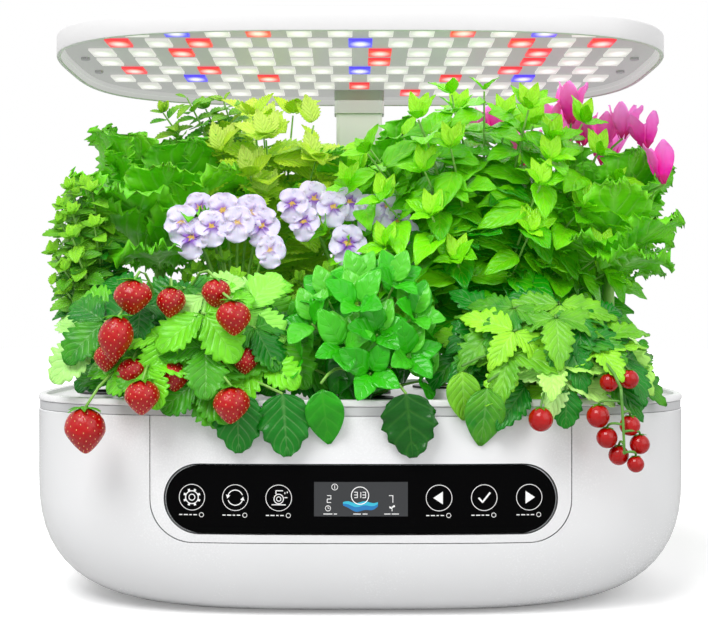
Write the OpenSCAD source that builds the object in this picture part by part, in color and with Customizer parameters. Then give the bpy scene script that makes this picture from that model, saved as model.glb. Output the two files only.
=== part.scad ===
// Countertop hydroponic garden: a rounded tank base with a touch panel, a grow deck with
// twelve planted pods, a telescopic post and an oval lamp head over the plants.
// Millimetres, +Z up. The origin is on the table under the middle of the base, and the
// front with the touch panel faces -Y.

/* [Base] */
// Width of the base
base_w = 420; // [410:1:430]
// Depth of the base
base_d = 250; // [246:1:256]
// Height of the base, up to the lip of the grow deck
base_h = 130; // [128:0.5:134]
// Roundness of the plan outline: 2 is an ellipse, higher is squarer
plan_power = 3.3; // [3.1:0.1:3.6]
// Wall of the outer shell
shell_wall = 3; // [2.5:0.1:3.2]
// Height of the white lip of the grow deck
lip_h = 4; // [3.5:0.5:4.5]
// Height of the grey rim of the tank that shows below the lip
band_h = 5.5; // [5:0.5:6]

/* [Touch panel] */
// Length of the black panel
panel_l = 229.6; // [220:0.2:230]
// Height of the black panel
panel_h = 40.2; // [38:0.2:41]
// Height of the middle of the panel above the table
panel_z = 72; // [70:0.5:73]
// Width of the front fascia between its two upright seams
fascia_w = 248; // [246:1:256]
// Height of the lower seam of the fascia above the table
fascia_z = 46; // [45:0.5:47]

/* [Pods] */
// Radius of a pod basket below its flange
basket_r = 17.5; // [16:0.5:18]
// Length of a pod basket below the deck
basket_l = 50; // [44:1:52]

/* [Lamp] */
// Width of the lamp head
lamp_w = 397; // [390:1:400]
// Depth of the lamp head
lamp_d = 248; // [244:1:250]
// Height of the lamp head from its lower rim to its top
lamp_h = 13.8; // [13:0.2:15]
// Height of the lower rim of the lamp above the table, at the lowest setting
lamp_z = 344.7; // [344:0.1:350]
// Side of one LED tile along X
led_x = 15; // [13:0.5:16]
// Side of one LED tile along Y
led_y = 19; // [16:0.5:20]

/* [Post] */
// Width of the sliding tube
slide_w = 35; // [33:0.5:36]
// Depth of the sliding tube
slide_d = 16; // [15:0.5:17]
// Travel of the sliding tube
slide_travel = 110; // [80:5:110]

/* [Hidden] */
$fn = 48;
plan_steps = 40;
eps = 0.01;

// levels of the base
lip_z = base_h - lip_h;
band_z = lip_z - band_h;
plate_t = 2.5;
deck_z = lip_z + 1;
plate_z = deck_z - plate_t;
round_h = 80;
round_side = 90;
round_front = 40;

// tank
tank_t = 2;
tank_front = -94;
tank_back = 106;
tank_notch = 84;
tank_floor = 12;

// pods: three in front, five in the middle, four at the back
PODS = concat(
    [for (i = [-1:1]) [120 * i, -70]],
    [for (i = [-2:2]) [84 * i, -8]],
    [for (x = [-150, -60, 60, 150]) [x, 60]]
);
flange_r = basket_r + 3.5;
flange_t = 1.4;
sponge_drop = 1.4;
stem_z = deck_z - sponge_drop;

// post
post_y = 101;
post_w = slide_w + 6;
post_d = slide_d + 6;
post_t = 1.6;
post_top = 285;
socket_w = post_w + 6;
socket_d = post_d + 6;
socket_z = 62;
slide_z = post_top - slide_travel - 35;
head_z = lamp_z - 11;

// lamp
lamp_wall = 2.6;
lamp_top = lamp_z + lamp_h;
ceiling_z = lamp_top - 3;
lamp_screw = [183, 21];
plate_gap = 6.5;
board_z = lamp_z + plate_gap;
board_t = 1.6;
led_t = 1.5;
led_row_pitch = 27.5;
led_first_row = -94;
led_pitch = [24.9, 25.3, 25.8, 25.9, 26.2, 26.2, 26, 26];
LED_ROWS = [
    "WBWRWWWWRWBW",
    "RWRWWWBWWWRWR",
    "WWRWWWWRWWWRWW",
    "WWWWWWWRWWWRWW",
    "RWRWWWBWWWRWW",
    "WWBWRWWWWRWBWW",
    "WWWWWWRWWWWWW",
    "WWWW  RWWW"
];

// panel: the front of the base is close to an arc of this radius across the panel
arc_r = 1205;
panel_y = -base_d / 2 + 1.8;
panel_t = 2.2;
film_t = 0.5;

// fill port
port = [105, 93];
port_w = 28;
port_d = 20;
lid_w = 36;
lid_d = 26;
hinge_y = port[1] + 16;
hinge_z = deck_z + 4;
pin_r = 1.2;

// pump
pump = [112, 12, 36];
pump_bore = 10.5;
rotor_r = 5.6;
shaft_r = 1;
spout_z = 16;

// float
float_at = [-112, -44];
float_rod = 2.4;
float_r = 11;
float_z = 24;
float_h = 14;

white = "#f4f5f6";
pale_grey = "#d2d3d4";
leaf_green = "#3fbf1c";
leaf_dark = "#1c8a22";
leaf_lime = "#9be02a";

// ---------------------------------------------------------------- outlines and lofts

// one point of a rounded oval of half sizes a and b, at the running angle t
function oval_point(a, b, t) = [
    a * sign(cos(t)) * pow(abs(cos(t)), 2 / plan_power),
    b * sign(sin(t)) * pow(abs(sin(t)), 2 / plan_power)
];

// the oval as a list of points, cut off flat in front of y_low and behind y_high
function oval(a, b, y_low = -1000, y_high = 1000) = [
    for (i = [0:plan_steps - 1])
        let (p = oval_point(a, b, 360 * (i + 0.5) / plan_steps))
        [p[0], min(max(p[1], y_low), y_high)]
];

function ring_at(outline, z) = [for (p = outline) [p[0], p[1], z]];

// skins a stack of rings of the same number of points, and closes its two ends
module loft(rings) {
    n = len(rings[0]);
    m = len(rings);
    polyhedron(
        points = [for (r = rings) each r],
        faces = concat(
            [[for (i = [0:n - 1]) i]],
            [[for (i = [n - 1:-1:0]) (m - 1) * n + i]],
            [for (k = [0:m - 2], i = [0:n - 1])
                [k * n + n + i, k * n + n + (i + 1) % n, k * n + (i + 1) % n]],
            [for (k = [0:m - 2], i = [0:n - 1])
                [k * n + n + i, k * n + (i + 1) % n, k * n + i]]
        )
    );
}

// unions its children as one mesh
module as_mesh() {
    resize([0, 0, 0]) union() children();
}

// a rectangle of w by d with round corners, made of true arcs
module round_rect(w, d, r) {
    square([w - 2 * r, d], center = true);
    square([w, d - 2 * r], center = true);
    for (x = [-1, 1], y = [-1, 1]) translate([x * (w / 2 - r), y * (d / 2 - r)]) circle(r);
}

module round_tube(w, d, r, t) {
    difference() {
        round_rect(w, d, r);
        round_rect(w - 2 * t, d - 2 * t, r - t / 2);
    }
}

// a pill shape of length l and height h
module pill(l, h) {
    square([l - h, h], center = true);
    for (x = [-1, 1]) translate([x * (l - h) / 2, 0]) circle(h / 2);
}

// extrudes a shape drawn in X and Z along Y, from y_from to y_to
module along_y(y_from, y_to) {
    translate([0, y_to, 0]) rotate([90, 0, 0]) linear_extrude(y_to - y_from) children();
}

// ---------------------------------------------------------------- base shell and fascia

// half sizes of the shell at a point of its rounded foot: s is 0 at the table, 1 on the side
function foot_in(s) = 1 - pow(sin(90 * s), 2 / 2.6);
function foot_z(s) = round_h * (1 - pow(cos(90 * s), 2 / 2.6));

function shell_ring(s, t) = ring_at(
    oval(
        base_w / 2 - round_side * foot_in(s) - t,
        base_d / 2 - round_front * foot_in(s) - t
    ),
    foot_z(s) + t * (1 - s)
);

module shell_loft() {
    foot_steps = [0, 0.2, 0.38, 0.55, 0.75, 1];
    inner_steps = [1, 0.6, 0.3, 0];
    loft(concat(
        [for (s = foot_steps) shell_ring(s, 0)],
        [ring_at(oval(base_w / 2, base_d / 2), band_z)],
        [ring_at(oval(base_w / 2 - shell_wall, base_d / 2 - shell_wall), band_z)],
        [for (s = inner_steps) shell_ring(s, shell_wall)]
    ));
}

// the U-shaped outline of the fascia, drawn in X and Z
module fascia_outline(gap) {
    r = 25;
    w = fascia_w - 2 * gap;
    z = fascia_z + gap;
    translate([-w / 2, z + r]) square([w, band_z - z - r + 1]);
    translate([-w / 2 + r, z]) square([w - 2 * r, r + 1]);
    for (x = [-1, 1]) translate([x * (w / 2 - r), z + r]) circle(r, $fn = 32);
}

jack = [62, 60];
jack_r = 6;
jack_pad_y = 117;
base_screw = [104, 40];
screw_head = [3, 1.2];
screw_sink = 1.9;
pad_at = [88, 56];
pad_r = 9;
pad_t = 1.5;

module base_shell() color(white) difference() {
    union() {
        shell_loft();
        translate([jack[0] - 11, jack_pad_y, jack[1] - 11]) cube([22, 3.5, 22]);
    }
    along_y(-base_d / 2 - 5, -base_d / 2 + 30) fascia_outline(0);
    translate([jack[0], jack_pad_y - 5, jack[1]]) rotate([-90, 0, 0]) cylinder(h = 20, r = jack_r + 0.2);
    for (x = [-1, 1], y = [-1, 1]) {
        translate([x * base_screw[0], y * base_screw[1], -1]) cylinder(h = 12, r = 1.7);
        translate([x * base_screw[0], y * base_screw[1], -1]) cylinder(h = screw_sink + 1, r = screw_head[0] + 0.4);
        translate([x * pad_at[0], y * pad_at[1], -1]) cylinder(h = pad_t + 1, r = pad_r + 0.2);
    }
}

// a curved slab behind the front of the panel, between two depths measured from that front
module front_slab(from, to) {
    translate([0, panel_y + arc_r, 0]) difference() {
        cylinder(h = base_h, r = arc_r - from, $fn = 180);
        translate([0, 0, -1]) cylinder(h = base_h + 2, r = arc_r - to, $fn = 180);
    }
}

// the part of a front slab that lies in a pill outline
module slab_pill(from, to, l, h) {
    intersection() {
        front_slab(from, to);
        translate([0, 0, panel_z]) along_y(-base_d / 2 - 5, -base_d / 2 + 20) pill(l, h);
    }
}

boss_at = [85, 103];
board_y = -113.4;

module front_fascia() color(white) as_mesh() {
    $fn = 28;
    difference() {
        intersection() {
            shell_loft();
            along_y(-base_d / 2 - 5, -base_d / 2 + 30) fascia_outline(0.35);
        }
        translate([0, 0, panel_z])
            along_y(-base_d / 2 - 5, -base_d / 2 + 20) pill(panel_l + 0.7, panel_h + 0.7);
    }
    difference() {
        slab_pill(0.7, panel_t + 1.3, panel_l + 9, panel_h + 9);
        slab_pill(-1, panel_t, panel_l + 0.7, panel_h + 0.7);
        translate([0, 0, panel_z]) along_y(-base_d / 2 - 5, -base_d / 2 + 20) pill(panel_l - 8, panel_h - 8);
    }
    for (x = [-1, 1]) {
        translate([x * boss_at[0], board_y, boss_at[1]])
            rotate([90, 0, 0]) cylinder(h = -board_y - 121, r = 3.5, $fn = 10);
        // snap lugs that meet the sides of the opening
        for (z = [84, 106]) translate([x * (fascia_w / 2 - 0.6), -116.4, z]) cube([1.2, 1.6, 8], center = true);
    }
    translate([-10, -122, fascia_z]) cube([20, 1.5, 1]);
}

module control_panel() color("#0a0a0c") slab_pill(0, panel_t, panel_l, panel_h);

// thin film with the touch pads, bonded to the back of the panel, with a window for the screen
module touch_film() color("#7a5a20") difference() {
    slab_pill(panel_t, panel_t + film_t, panel_l - 12, panel_h - 12);
    translate([0, -base_d / 2 + 5, panel_z]) cube([58, 12, 24], center = true);
}

module lcd_module() color("#33383c") {
    front = panel_y + panel_t + film_t;
    translate([-27.5, front, panel_z - 10.5]) cube([55, board_y - front, 21]);
}

module control_board() color("#1f6b3a") {
    translate([-95, board_y, 58]) cube([190, 1.6, 50]);
    translate([-70, board_y + 1.6, 70]) cube([14, 3, 14]);
    translate([-30, board_y + 1.6, 64]) cube([10, 6, 22]);
    translate([40, board_y + 1.6, 68]) cube([26, 7, 10]);
    for (x = [-50, 20, 78]) translate([x, board_y + 1.6, 96]) rotate([-90, 0, 0]) cylinder(h = 8, r = 4);
}

module dc_jack() color("#222222") translate([jack[0], jack_pad_y, jack[1]]) rotate([-90, 0, 0]) {
    difference() {
        union() {
            translate([0, 0, -6]) cylinder(h = 11.6, r = jack_r);
            translate([0, 0, -3]) cylinder(h = 3, r = jack_r + 2.5);
        }
        translate([0, 0, -3.4]) cylinder(h = 12, r = 2.85);
    }
    translate([0, 0, -3.5]) cylinder(h = 8, r = 1);
}

// soft pads let into the flat bottom of the shell
module feet() color("#3a3a3c") for (x = [-1, 1], y = [-1, 1])
    translate([x * pad_at[0], y * pad_at[1], 0]) cylinder(h = pad_t, r = pad_r);

module base_screws() color("silver") for (x = [-1, 1], y = [-1, 1])
    translate([x * base_screw[0], y * base_screw[1], screw_sink - screw_head[1]]) {
        cylinder(h = screw_head[1], r = screw_head[0]);
        cylinder(h = 9, r = 1.5);
    }

// ---------------------------------------------------------------- tank and deck

// a ring of the tank, which steps forward in the middle of its back to leave room for the post
function tank_ring(a, b, t, z) = [
    for (p = oval(a - t, b - t, tank_front + t, tank_back - t))
        [p[0], abs(p[0]) < 50 ? min(p[1], tank_notch - t) : p[1], z]
];

module water_tank() color(pale_grey) as_mesh() difference() {
    a = base_w / 2;
    b = base_d / 2;
    union() {
        loft([
            tank_ring(a - 50, b - 26, 0, tank_floor),
            tank_ring(a - 20, b - 10, 0, tank_floor + 26),
            tank_ring(a - 8, b - 8, 0, band_z),
            ring_at(oval(a - 0.5, b - 0.5), band_z),
            ring_at(oval(a - 0.5, b - 0.5), lip_z),
            ring_at(oval(a - shell_wall, b - shell_wall), lip_z),
            ring_at(oval(a - shell_wall, b - shell_wall), band_z + 2),
            tank_ring(a - 8, b - 8, tank_t, band_z + 2),
            tank_ring(a - 20, b - 10, tank_t, tank_floor + 27),
            tank_ring(a - 50, b - 26, tank_t, tank_floor + tank_t)
        ]);
        for (x = [-1, 1], y = [-1, 1]) translate([x * base_screw[0], y * base_screw[1], shell_wall])
            cylinder(h = tank_floor - shell_wall + 1, r = 4, $fn = 8);
    }
    for (x = [-1, 1], y = [-1, 1]) translate([x * base_screw[0], y * base_screw[1], 0])
        cylinder(h = tank_floor - 1, r = 1.62, $fn = 8);
    translate([0, post_y, band_z]) cube([socket_w + 1, socket_d + 1, 8], center = true);
}

rib_h = 5;

module grow_deck() color(white) {
    difference() {
        union() {
            translate([0, 0, plate_z])
                linear_extrude(plate_t) polygon(oval(base_w / 2 - 4, base_d / 2 - 4));
            translate([0, 0, lip_z]) linear_extrude(lip_h) difference() {
                polygon(oval(base_w / 2, base_d / 2));
                polygon(oval(base_w / 2 - 5, base_d / 2 - 5));
            }
            for (p = PODS) translate([p[0], p[1], plate_z - rib_h]) cylinder(h = rib_h + 1, r = basket_r + 2);
            translate([port[0], port[1], plate_z]) linear_extrude(plate_t + 2)
                round_rect(port_w + 4, port_d + 4, 5);
        }
        for (p = PODS) translate([p[0], p[1], plate_z - rib_h - 1]) cylinder(h = 20, r = basket_r + 0.3);
        translate([port[0], port[1], plate_z - 1]) linear_extrude(20) round_rect(port_w, port_d, 4);
        translate([0, post_y, plate_z - 1]) linear_extrude(plate_t + 2) round_rect(socket_w + 0.4, socket_d + 0.4, 5);
    }
    for (x = [-1, 1]) difference() {
        union() {
            translate([port[0] + x * 10 - 2, hinge_y - 2.6, deck_z - eps]) cube([4, 5.2, hinge_z - deck_z]);
            translate([port[0] + x * 10 - 2, hinge_y, hinge_z]) rotate([0, 90, 0]) cylinder(h = 4, r = 2.6);
        }
        translate([port[0] + x * 10 - 3, hinge_y, hinge_z]) rotate([0, 90, 0]) cylinder(h = 6, r = pin_r);
    }
}

module fill_lid_pin() color("silver")
    translate([port[0] - 12, hinge_y, hinge_z]) rotate([0, 90, 0]) cylinder(h = 24, r = pin_r);

module fill_lid() color(white) difference() {
    union() {
        translate([port[0], port[1] - 1, deck_z + 2.3]) linear_extrude(2.2) round_rect(lid_w, lid_d, 5);
        translate([port[0], port[1] - 1 - lid_d / 2, deck_z + 2.3]) cylinder(h = 2.2, r = 5);
        translate([port[0] - 7, port[1] + lid_d / 2 - 4, deck_z + 2.3]) cube([14, hinge_y - port[1] - lid_d / 2 + 4, 2.2]);
        translate([port[0] - 7, hinge_y, hinge_z]) rotate([0, 90, 0]) cylinder(h = 14, r = 2.6);
    }
    translate([port[0] - 8, hinge_y, hinge_z]) rotate([0, 90, 0]) cylinder(h = 16, r = pin_r + 0.07);
}

// a slotted cup that hangs in a hole of the deck by its flange
module basket() {
    slot_w = 4;
    difference() {
        rotate_extrude() polygon([
            [0, -basket_l], [basket_r - 4, -basket_l], [basket_r, 0], [flange_r, 0],
            [flange_r, flange_t], [basket_r - 1.4, flange_t], [basket_r - 5.2, 1.4 - basket_l],
            [0, 1.4 - basket_l]
        ]);
        for (i = [0:2]) rotate(60 * i) translate([-basket_r - 2, -slot_w / 2, -basket_l + 6])
            cube([2 * basket_r + 4, slot_w, basket_l - 16]);
    }
}

module pod_baskets() color("#26282a") for (p = PODS) translate([p[0], p[1], deck_z]) basket();

module grow_sponges() color("#5a3a22") for (p = PODS) translate([p[0], p[1], deck_z]) rotate_extrude()
    polygon([
        [0, 1.4 - basket_l], [basket_r - 5.6, 1.4 - basket_l], [basket_r - 2.1, -sponge_drop], [0, -sponge_drop]
    ]);

// ---------------------------------------------------------------- post

module post_socket() color(pale_grey) translate([0, post_y, 0]) {
    difference() {
        union() {
            translate([0, 0, socket_z - 3]) linear_extrude(deck_z - socket_z + 3) round_rect(socket_w, socket_d, 5);
            translate([0, 0, deck_z]) linear_extrude(2.5) round_rect(socket_w + 8, socket_d + 6, 7);
        }
        translate([0, 0, socket_z]) linear_extrude(100) round_rect(post_w, post_d, 4);
    }
}

module post_outer() color(white) translate([0, post_y, socket_z])
    linear_extrude(post_top - socket_z) round_tube(post_w, post_d, 4, post_t);

module post_collar() color(pale_grey) translate([0, post_y, 0]) difference() {
    translate([0, 0, post_top - 8]) linear_extrude(13) round_rect(post_w + 4, post_d + 4, 5.5);
    translate([0, 0, post_top - 9]) linear_extrude(9) round_rect(post_w, post_d, 4);
    translate([0, 0, post_top - 10]) linear_extrude(20) round_rect(slide_w + 0.6, slide_d + 0.6, 3.5);
}

module post_inner() color(white) translate([0, post_y, slide_z])
    linear_extrude(head_z + 2 - slide_z) round_tube(slide_w, slide_d, 3.3, 1.5);

module post_slider() color("#8c8f92") translate([0, post_y, slide_z]) linear_extrude(14) difference() {
    round_rect(post_w - 2 * post_t - 0.6, post_d - 2 * post_t - 0.6, 3);
    round_rect(slide_w, slide_d, 3.3);
}

module post_head() color(pale_grey) translate([0, post_y, 0]) difference() {
    translate([0, 0, head_z]) linear_extrude(ceiling_z - head_z) round_rect(38, 20, 4);
    translate([0, 0, head_z - 1]) linear_extrude(3) round_rect(slide_w, slide_d, 3.3);
}

// ---------------------------------------------------------------- lamp

module lamp_housing() color(white) difference() {
    a = lamp_w / 2;
    b = lamp_d / 2;
    r = 2.4;
    union() {
        loft(concat(
            [ring_at(oval(a - lamp_wall - 3, b - lamp_wall - 3), ceiling_z)],
            [ring_at(oval(a - lamp_wall, b - lamp_wall), ceiling_z - 2)],
            [ring_at(oval(a - lamp_wall, b - lamp_wall), lamp_z)],
            [ring_at(oval(a, b), lamp_z)],
            [for (s = [0, 45, 90])
                ring_at(oval(a - r * (1 - cos(s)), b - r * (1 - cos(s))), lamp_top - r * (1 - sin(s)))]
        ));
        for (x = [-1, 1], y = [-1, 1]) translate([x * lamp_screw[0], y * lamp_screw[1], board_z + board_t])
            cylinder(h = ceiling_z - board_z - board_t + 1, r = 4);
    }
    for (x = [-1, 1], y = [-1, 1]) translate([x * lamp_screw[0], y * lamp_screw[1], board_z])
        cylinder(h = ceiling_z + 1 - board_z, r = 1.5);
}

module led_board() color("#e4e4e0") translate([0, 0, board_z]) linear_extrude(board_t) difference() {
    polygon(oval(lamp_w / 2 - lamp_wall - 0.5, lamp_d / 2 - lamp_wall - 0.5));
    translate([0, post_y]) round_rect(38.8, 20.8, 4);
    for (x = [-1, 1], y = [-1, 1]) translate([x * lamp_screw[0], y * lamp_screw[1]]) circle(1.6);
}

// every LED tile whose letter in the rows is the one given
module leds(letter) {
    for (j = [0:len(LED_ROWS) - 1]) {
        row = LED_ROWS[j];
        for (i = [0:len(row) - 1]) if (row[i] == letter)
            translate([
                (i - (len(row) - 1) / 2) * led_pitch[j] - led_x / 2,
                led_first_row + led_row_pitch * j - led_y / 2,
                board_z - led_t
            ]) cube([led_x, led_y, led_t]);
    }
}

module leds_white() color("#fffdf0") leds("W");
module leds_red() color("#e02030") leds("R");
module leds_blue() color("#3a2ad0") leds("B");

module lamp_screws() color("silver") for (x = [-1, 1], y = [-1, 1])
    translate([x * lamp_screw[0], y * lamp_screw[1], board_z - 1.4]) {
        cylinder(h = 1.4, r = 3);
        cylinder(h = ceiling_z + 1 - board_z + 1.4, r = 1.5);
    }

// ---------------------------------------------------------------- pump and float

module pump_body() color("#2c2e30") translate(pump) difference() {
    union() {
        translate([-17, -1, -17]) cube([34, 30, 32]);
        rotate([90, 0, 0]) cylinder(h = 10, r = 13.5);
        translate([0, -5.5, 0]) cylinder(h = spout_z, r = 4.4);
    }
    translate([0, -1, 0]) rotate([90, 0, 0]) cylinder(h = 20, r = pump_bore);
    translate([0, 20, 0]) rotate([90, 0, 0]) cylinder(h = 30, r = rotor_r + 0.5);
    translate([0, -5.5, 0]) cylinder(h = 20, r = 2.2);
}

module pump_shaft() color("silver") translate(pump)
    translate([0, 20, 0]) rotate([90, 0, 0]) cylinder(h = 30, r = shaft_r);

module pump_cover() color("#3c3f42") translate(pump) translate([0, -10, 0]) rotate([90, 0, 0]) difference() {
    cylinder(h = 2, r = 13.5);
    for (i = [0:7]) rotate(45 * i) translate([3.5, -0.9, -1]) cube([6, 1.8, 4]);
}

module pump_spout() color("#c9ccce") translate(pump + [0, -5.5, spout_z]) difference() {
    union() {
        cylinder(h = 14, r = 3.4);
        cylinder(h = 3, r = 4.4);
    }
    translate([0, 0, -1]) cylinder(h = 20, r = 2.2);
}

module pump_feet() color("#55585a") translate(pump) for (x = [-1, 1], y = [4, 24])
    translate([x * 12, y, 0]) translate([0, 0, tank_floor + tank_t - pump[2]])
        cylinder(h = pump[2] - 17 - tank_floor - tank_t, r = 3.5);

module pump_impeller() color("#e8e8e4") translate(pump) difference() {
    union() {
        translate([0, -2, 0]) rotate([90, 0, 0]) cylinder(h = 1.4, r = 9.4);
        translate([0, -2, 0]) rotate([90, 0, 0]) cylinder(h = 7, r = 3);
        for (i = [0:5]) rotate([0, 60 * i, 0]) translate([2, -8.6, -0.6]) cube([7.2, 6, 1.2]);
    }
    rotate([90, 0, 0]) cylinder(h = 30, r = shaft_r + 0.06, center = true);
}

module pump_rotor() color("#4a4d52") translate(pump) difference() {
    translate([0, 16, 0]) rotate([90, 0, 0]) cylinder(h = 18, r = rotor_r);
    rotate([90, 0, 0]) cylinder(h = 60, r = shaft_r + 0.06, center = true);
}

module float_guide() color(pale_grey) translate([float_at[0], float_at[1], tank_floor + tank_t]) {
    rod_h = 56;
    cylinder(h = 2.5, r = 10);
    cylinder(h = rod_h, r = float_rod);
    translate([0, 0, float_z - tank_floor - tank_t - 2]) cylinder(h = 2, r = 5);
    translate([0, 0, rod_h - 2]) cylinder(h = 2, r = 5);
}

module level_float() color("#f08020") translate([float_at[0], float_at[1], float_z]) difference() {
    rotate_extrude() polygon([[0, 0], [float_r - 2, 0], [float_r, 3], [float_r, float_h - 3], [float_r - 2, float_h], [0, float_h]]);
    translate([0, 0, -1]) cylinder(h = float_h + 2, r = float_rod + 0.3);
}

// ---------------------------------------------------------------- parts of a plant

function ahead(yaw, pitch) = [cos(yaw) * cos(pitch), sin(yaw) * cos(pitch), sin(pitch)];
function across(yaw) = [-sin(yaw), cos(yaw), 0];
function above(yaw, pitch) = [-cos(yaw) * sin(pitch), -sin(yaw) * sin(pitch), cos(pitch)];

// the way from p to the wall of a cell [x0, x1, y0, y1], in the direction of yaw
function room(p, yaw, cell) = min(
    abs(cos(yaw)) < 0.01 ? 1000 : ((cos(yaw) > 0 ? cell[1] : cell[0]) - p[0]) / cos(yaw),
    abs(sin(yaw)) < 0.01 ? 1000 : ((sin(yaw) > 0 ? cell[3] : cell[2]) - p[1]) / sin(yaw)
);

// a closed thin sheet: a fan from its middle to the points of its margin
module sheet(margin, middle, u, t = 1) {
    n = len(margin);
    polyhedron(
        points = concat(margin, [middle + t / 2 * u, middle - t / 2 * u]),
        faces = concat(
            [for (k = [0:n - 1]) [n, (k + 1) % n, k]],
            [for (k = [0:n - 1]) [n + 1, k, (k + 1) % n]]
        )
    );
}

// a broad leaf that starts at p, with a wavy edge
module ruffled_leaf(p, yaw, pitch, l, w, wave = 3, cup = 0.12, points = 9) {
    f = ahead(yaw, pitch);
    s = across(yaw);
    u = above(yaw, pitch);
    margin = concat([p], [for (k = [0:points - 1])
        let (a = 130 * (2 * k / (points - 1) - 1), odd = k % 2)
        p + (0.54 + 0.46 * cos(a)) * l * f + w / 2 * sin(a) * s + (odd ? wave : -wave) * u
    ]);
    sheet(margin, p + 0.5 * l * f - cup * l * u, u, 1.2);
}

// a leaf or flower of several lobes round its middle: yaw is where the first lobe points,
// deep is how far the notches between the lobes reach in, and steps is the points per lobe
module lobed(p, yaw, pitch, r, lobes, deep, cup = 0.12, steps = 4, t = 1) {
    f = ahead(yaw, pitch);
    s = across(yaw);
    u = above(yaw, pitch);
    margin = [for (k = [0:steps * lobes - 1])
        let (
            a = 360 * k / (steps * lobes),
            q = r * (1 - deep * pow(steps == 3 ? cos(60 * k) : sin(45 * k), 2))
        )
        p + q * cos(a) * f + q * sin(a) * s + cup * r * u
    ];
    sheet(margin, p, u, t);
}

// a stalk of three sides through the points given, from radius r0 to r1; its foot is cut level,
// or square to its way
module stalk(path, r0, r1 = 0.5, level = true) {
    sides = 3;
    m = len(path);
    function way(k) = let (d = path[min(k + 1, m - 1)] - path[max(k - 1, 0)]) d / norm(d);
    function ring(k) =
        let (
            d = way(k),
            c = cross(d, level ? [0.02, -1, 0.03] : [0.03, 0.02, 1]),
            u = level && k == 0 ? [1, 0, 0] : c / norm(c),
            v = level && k == 0 ? [0, 1, 0] : cross(d, u),
            r = r0 + (r1 - r0) * k / (m - 1)
        )
        [for (i = [0:sides - 1]) path[k] + r * (cos(360 * i / sides) * u + sin(360 * i / sides) * v)];
    loft([for (k = [0:m - 1]) ring(k)]);
}

// the middle point of a stalk that leans from a to b and bows outwards
function bowed(a, b, bow = 0) = let (
    flat = [b[0] - a[0], b[1] - a[1], 0],
    out = flat / max(1, norm(flat))
) [a, (a + b) / 2 - bow * out + [0, 0, bow], b];

function stem_foot(pod) = [pod[0], pod[1], stem_z];

// a bushy plant as one skin: rings up its stalk, which spread into a star of leaves at each
// whorl from low to top. The leaves are l long, or as long as the cell lets them be, and widest
// at the share of the height that belly gives; drop is how far the lowest tips hang down
module bush(pod, low, top, l, whorls, leaves, cell, drop = 8, belly = 0.4, narrow = 0.45) {
    n = 4 * leaves;
    deep = 0.6;
    function spoke(i) = [cos(360 * i / n), sin(360 * i / n), 0];
    function stalk_ring(r, z) = [for (i = [0:n - 1]) [pod[0], pod[1], z] + r * spoke(i)];
    function leaf_ring(k, z) =
        let (
            s = k / max(1, whorls - 1),
            r = l * (1 - (1 - narrow) * abs(s - belly) / max(belly, 1 - belly)),
            hang = drop * (1 - 1.6 * s)
        )
        [for (i = [0:n - 1])
            let (
                q = 1 - deep * pow(sin(45 * (i + 2 * k)), 2),
                reach = min(r, 0.96 * room(pod, 360 * i / n, cell)) * q
            )
            [pod[0], pod[1], z - hang * q] + reach * spoke(i)];
    loft(concat(
        [stalk_ring(2.6, stem_z)],
        [for (k = [0:whorls - 1]) let (z = low + (top - 2 - low) * k / max(1, whorls - 1)) each [
            stalk_ring(2.2, z - 0.8), leaf_ring(k, z), stalk_ring(2, z + 0.8)
        ]]
    ));
}

// a head of ruffled leaves that stand round a short stem, steeper towards its top
module lettuce(pod, top, l, w, rise, cell, n = 12) {
    foot = stem_foot(pod);
    crown = [pod[0], pod[1], top - l * 0.95 - rise];
    stalk([foot, crown + [0, 0, rise + 6]], 5, 3);
    for (i = [0:n - 1]) {
        yaw = 137.5 * i;
        level = i / (n - 1);
        pitch = 8 + 68 * level;
        reach = min(l, 0.9 * room(crown, yaw, cell) / max(0.25, cos(pitch)));
        ruffled_leaf(crown + [0, 0, rise * level], yaw, pitch, reach, w * (1 - 0.3 * level));
    }
}

// ---------------------------------------------------------------- the twelve plants

// walls of the room that each plant fills: [x0, x1, y0, y1]
cell_basil_front = [-34, 46, -120, -45];
cell_tomato = [50, 200, -118, -45];
cell_strawberry = [-198, -38, -118, -45];
cell_herb = [-205, -130, -43, 27];
cell_pansy_left = [-128, -46, -43, 27];
cell_pansy_middle = [-44, 36, -43, 27];
cell_basil_tall = [38, 128, -43, 27];
cell_lettuce_right = [130, 207, -43, 27];
cell_lettuce_left = [-200, -100, 29, 116];
cell_balm = [-98, -26, 29, 112];
cell_lettuce_middle = [-22, 84, 29, 84];
cell_cyclamen = [126, 204, 29, 116];

// a leaf stalk from a to b with three toothed leaflets at its end
module trefoil(a, b, r, bow = 6) {
    yaw = atan2(b[1] - a[1], b[0] - a[0]);
    stalk(bowed(a, b, bow), 1.1, 0.8);
    lobed(b, yaw, 6, r, 3, 0.6);
}

hang_y = -base_d / 2 - 14;

// hanging strawberries: [x, z of the crown, width, height]
BERRIES = [[-157, 123, 23, 26], [-124, 138, 21, 21], [-73, 136, 22, 22]];
// strawberries among the leaves: [x, y, z of the crown, width, height]
HIGH_BERRIES = [[-144, -124, 184, 20, 26], [-80, -124, 187, 20, 21], [-121, -124, 201, 20, 20]];

module berry(w, h) rotate_extrude() polygon(concat(
    [[0, 0], [w * 0.16, 0]],
    [for (a = [60:-15:-75]) [w / 2 * pow(cos(a), 0.7), -h * 0.42 + h * (a > 0 ? 0.4 : 0.55) * sin(a)]],
    [[0, -h * 0.98]]
));

module strawberries() color("#d0141c") {
    for (b = BERRIES) translate([b[0], hang_y, b[1]]) berry(b[2], b[3]);
    for (b = HIGH_BERRIES) translate([b[0], b[1], b[2]]) berry(b[3], b[4]);
}

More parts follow.
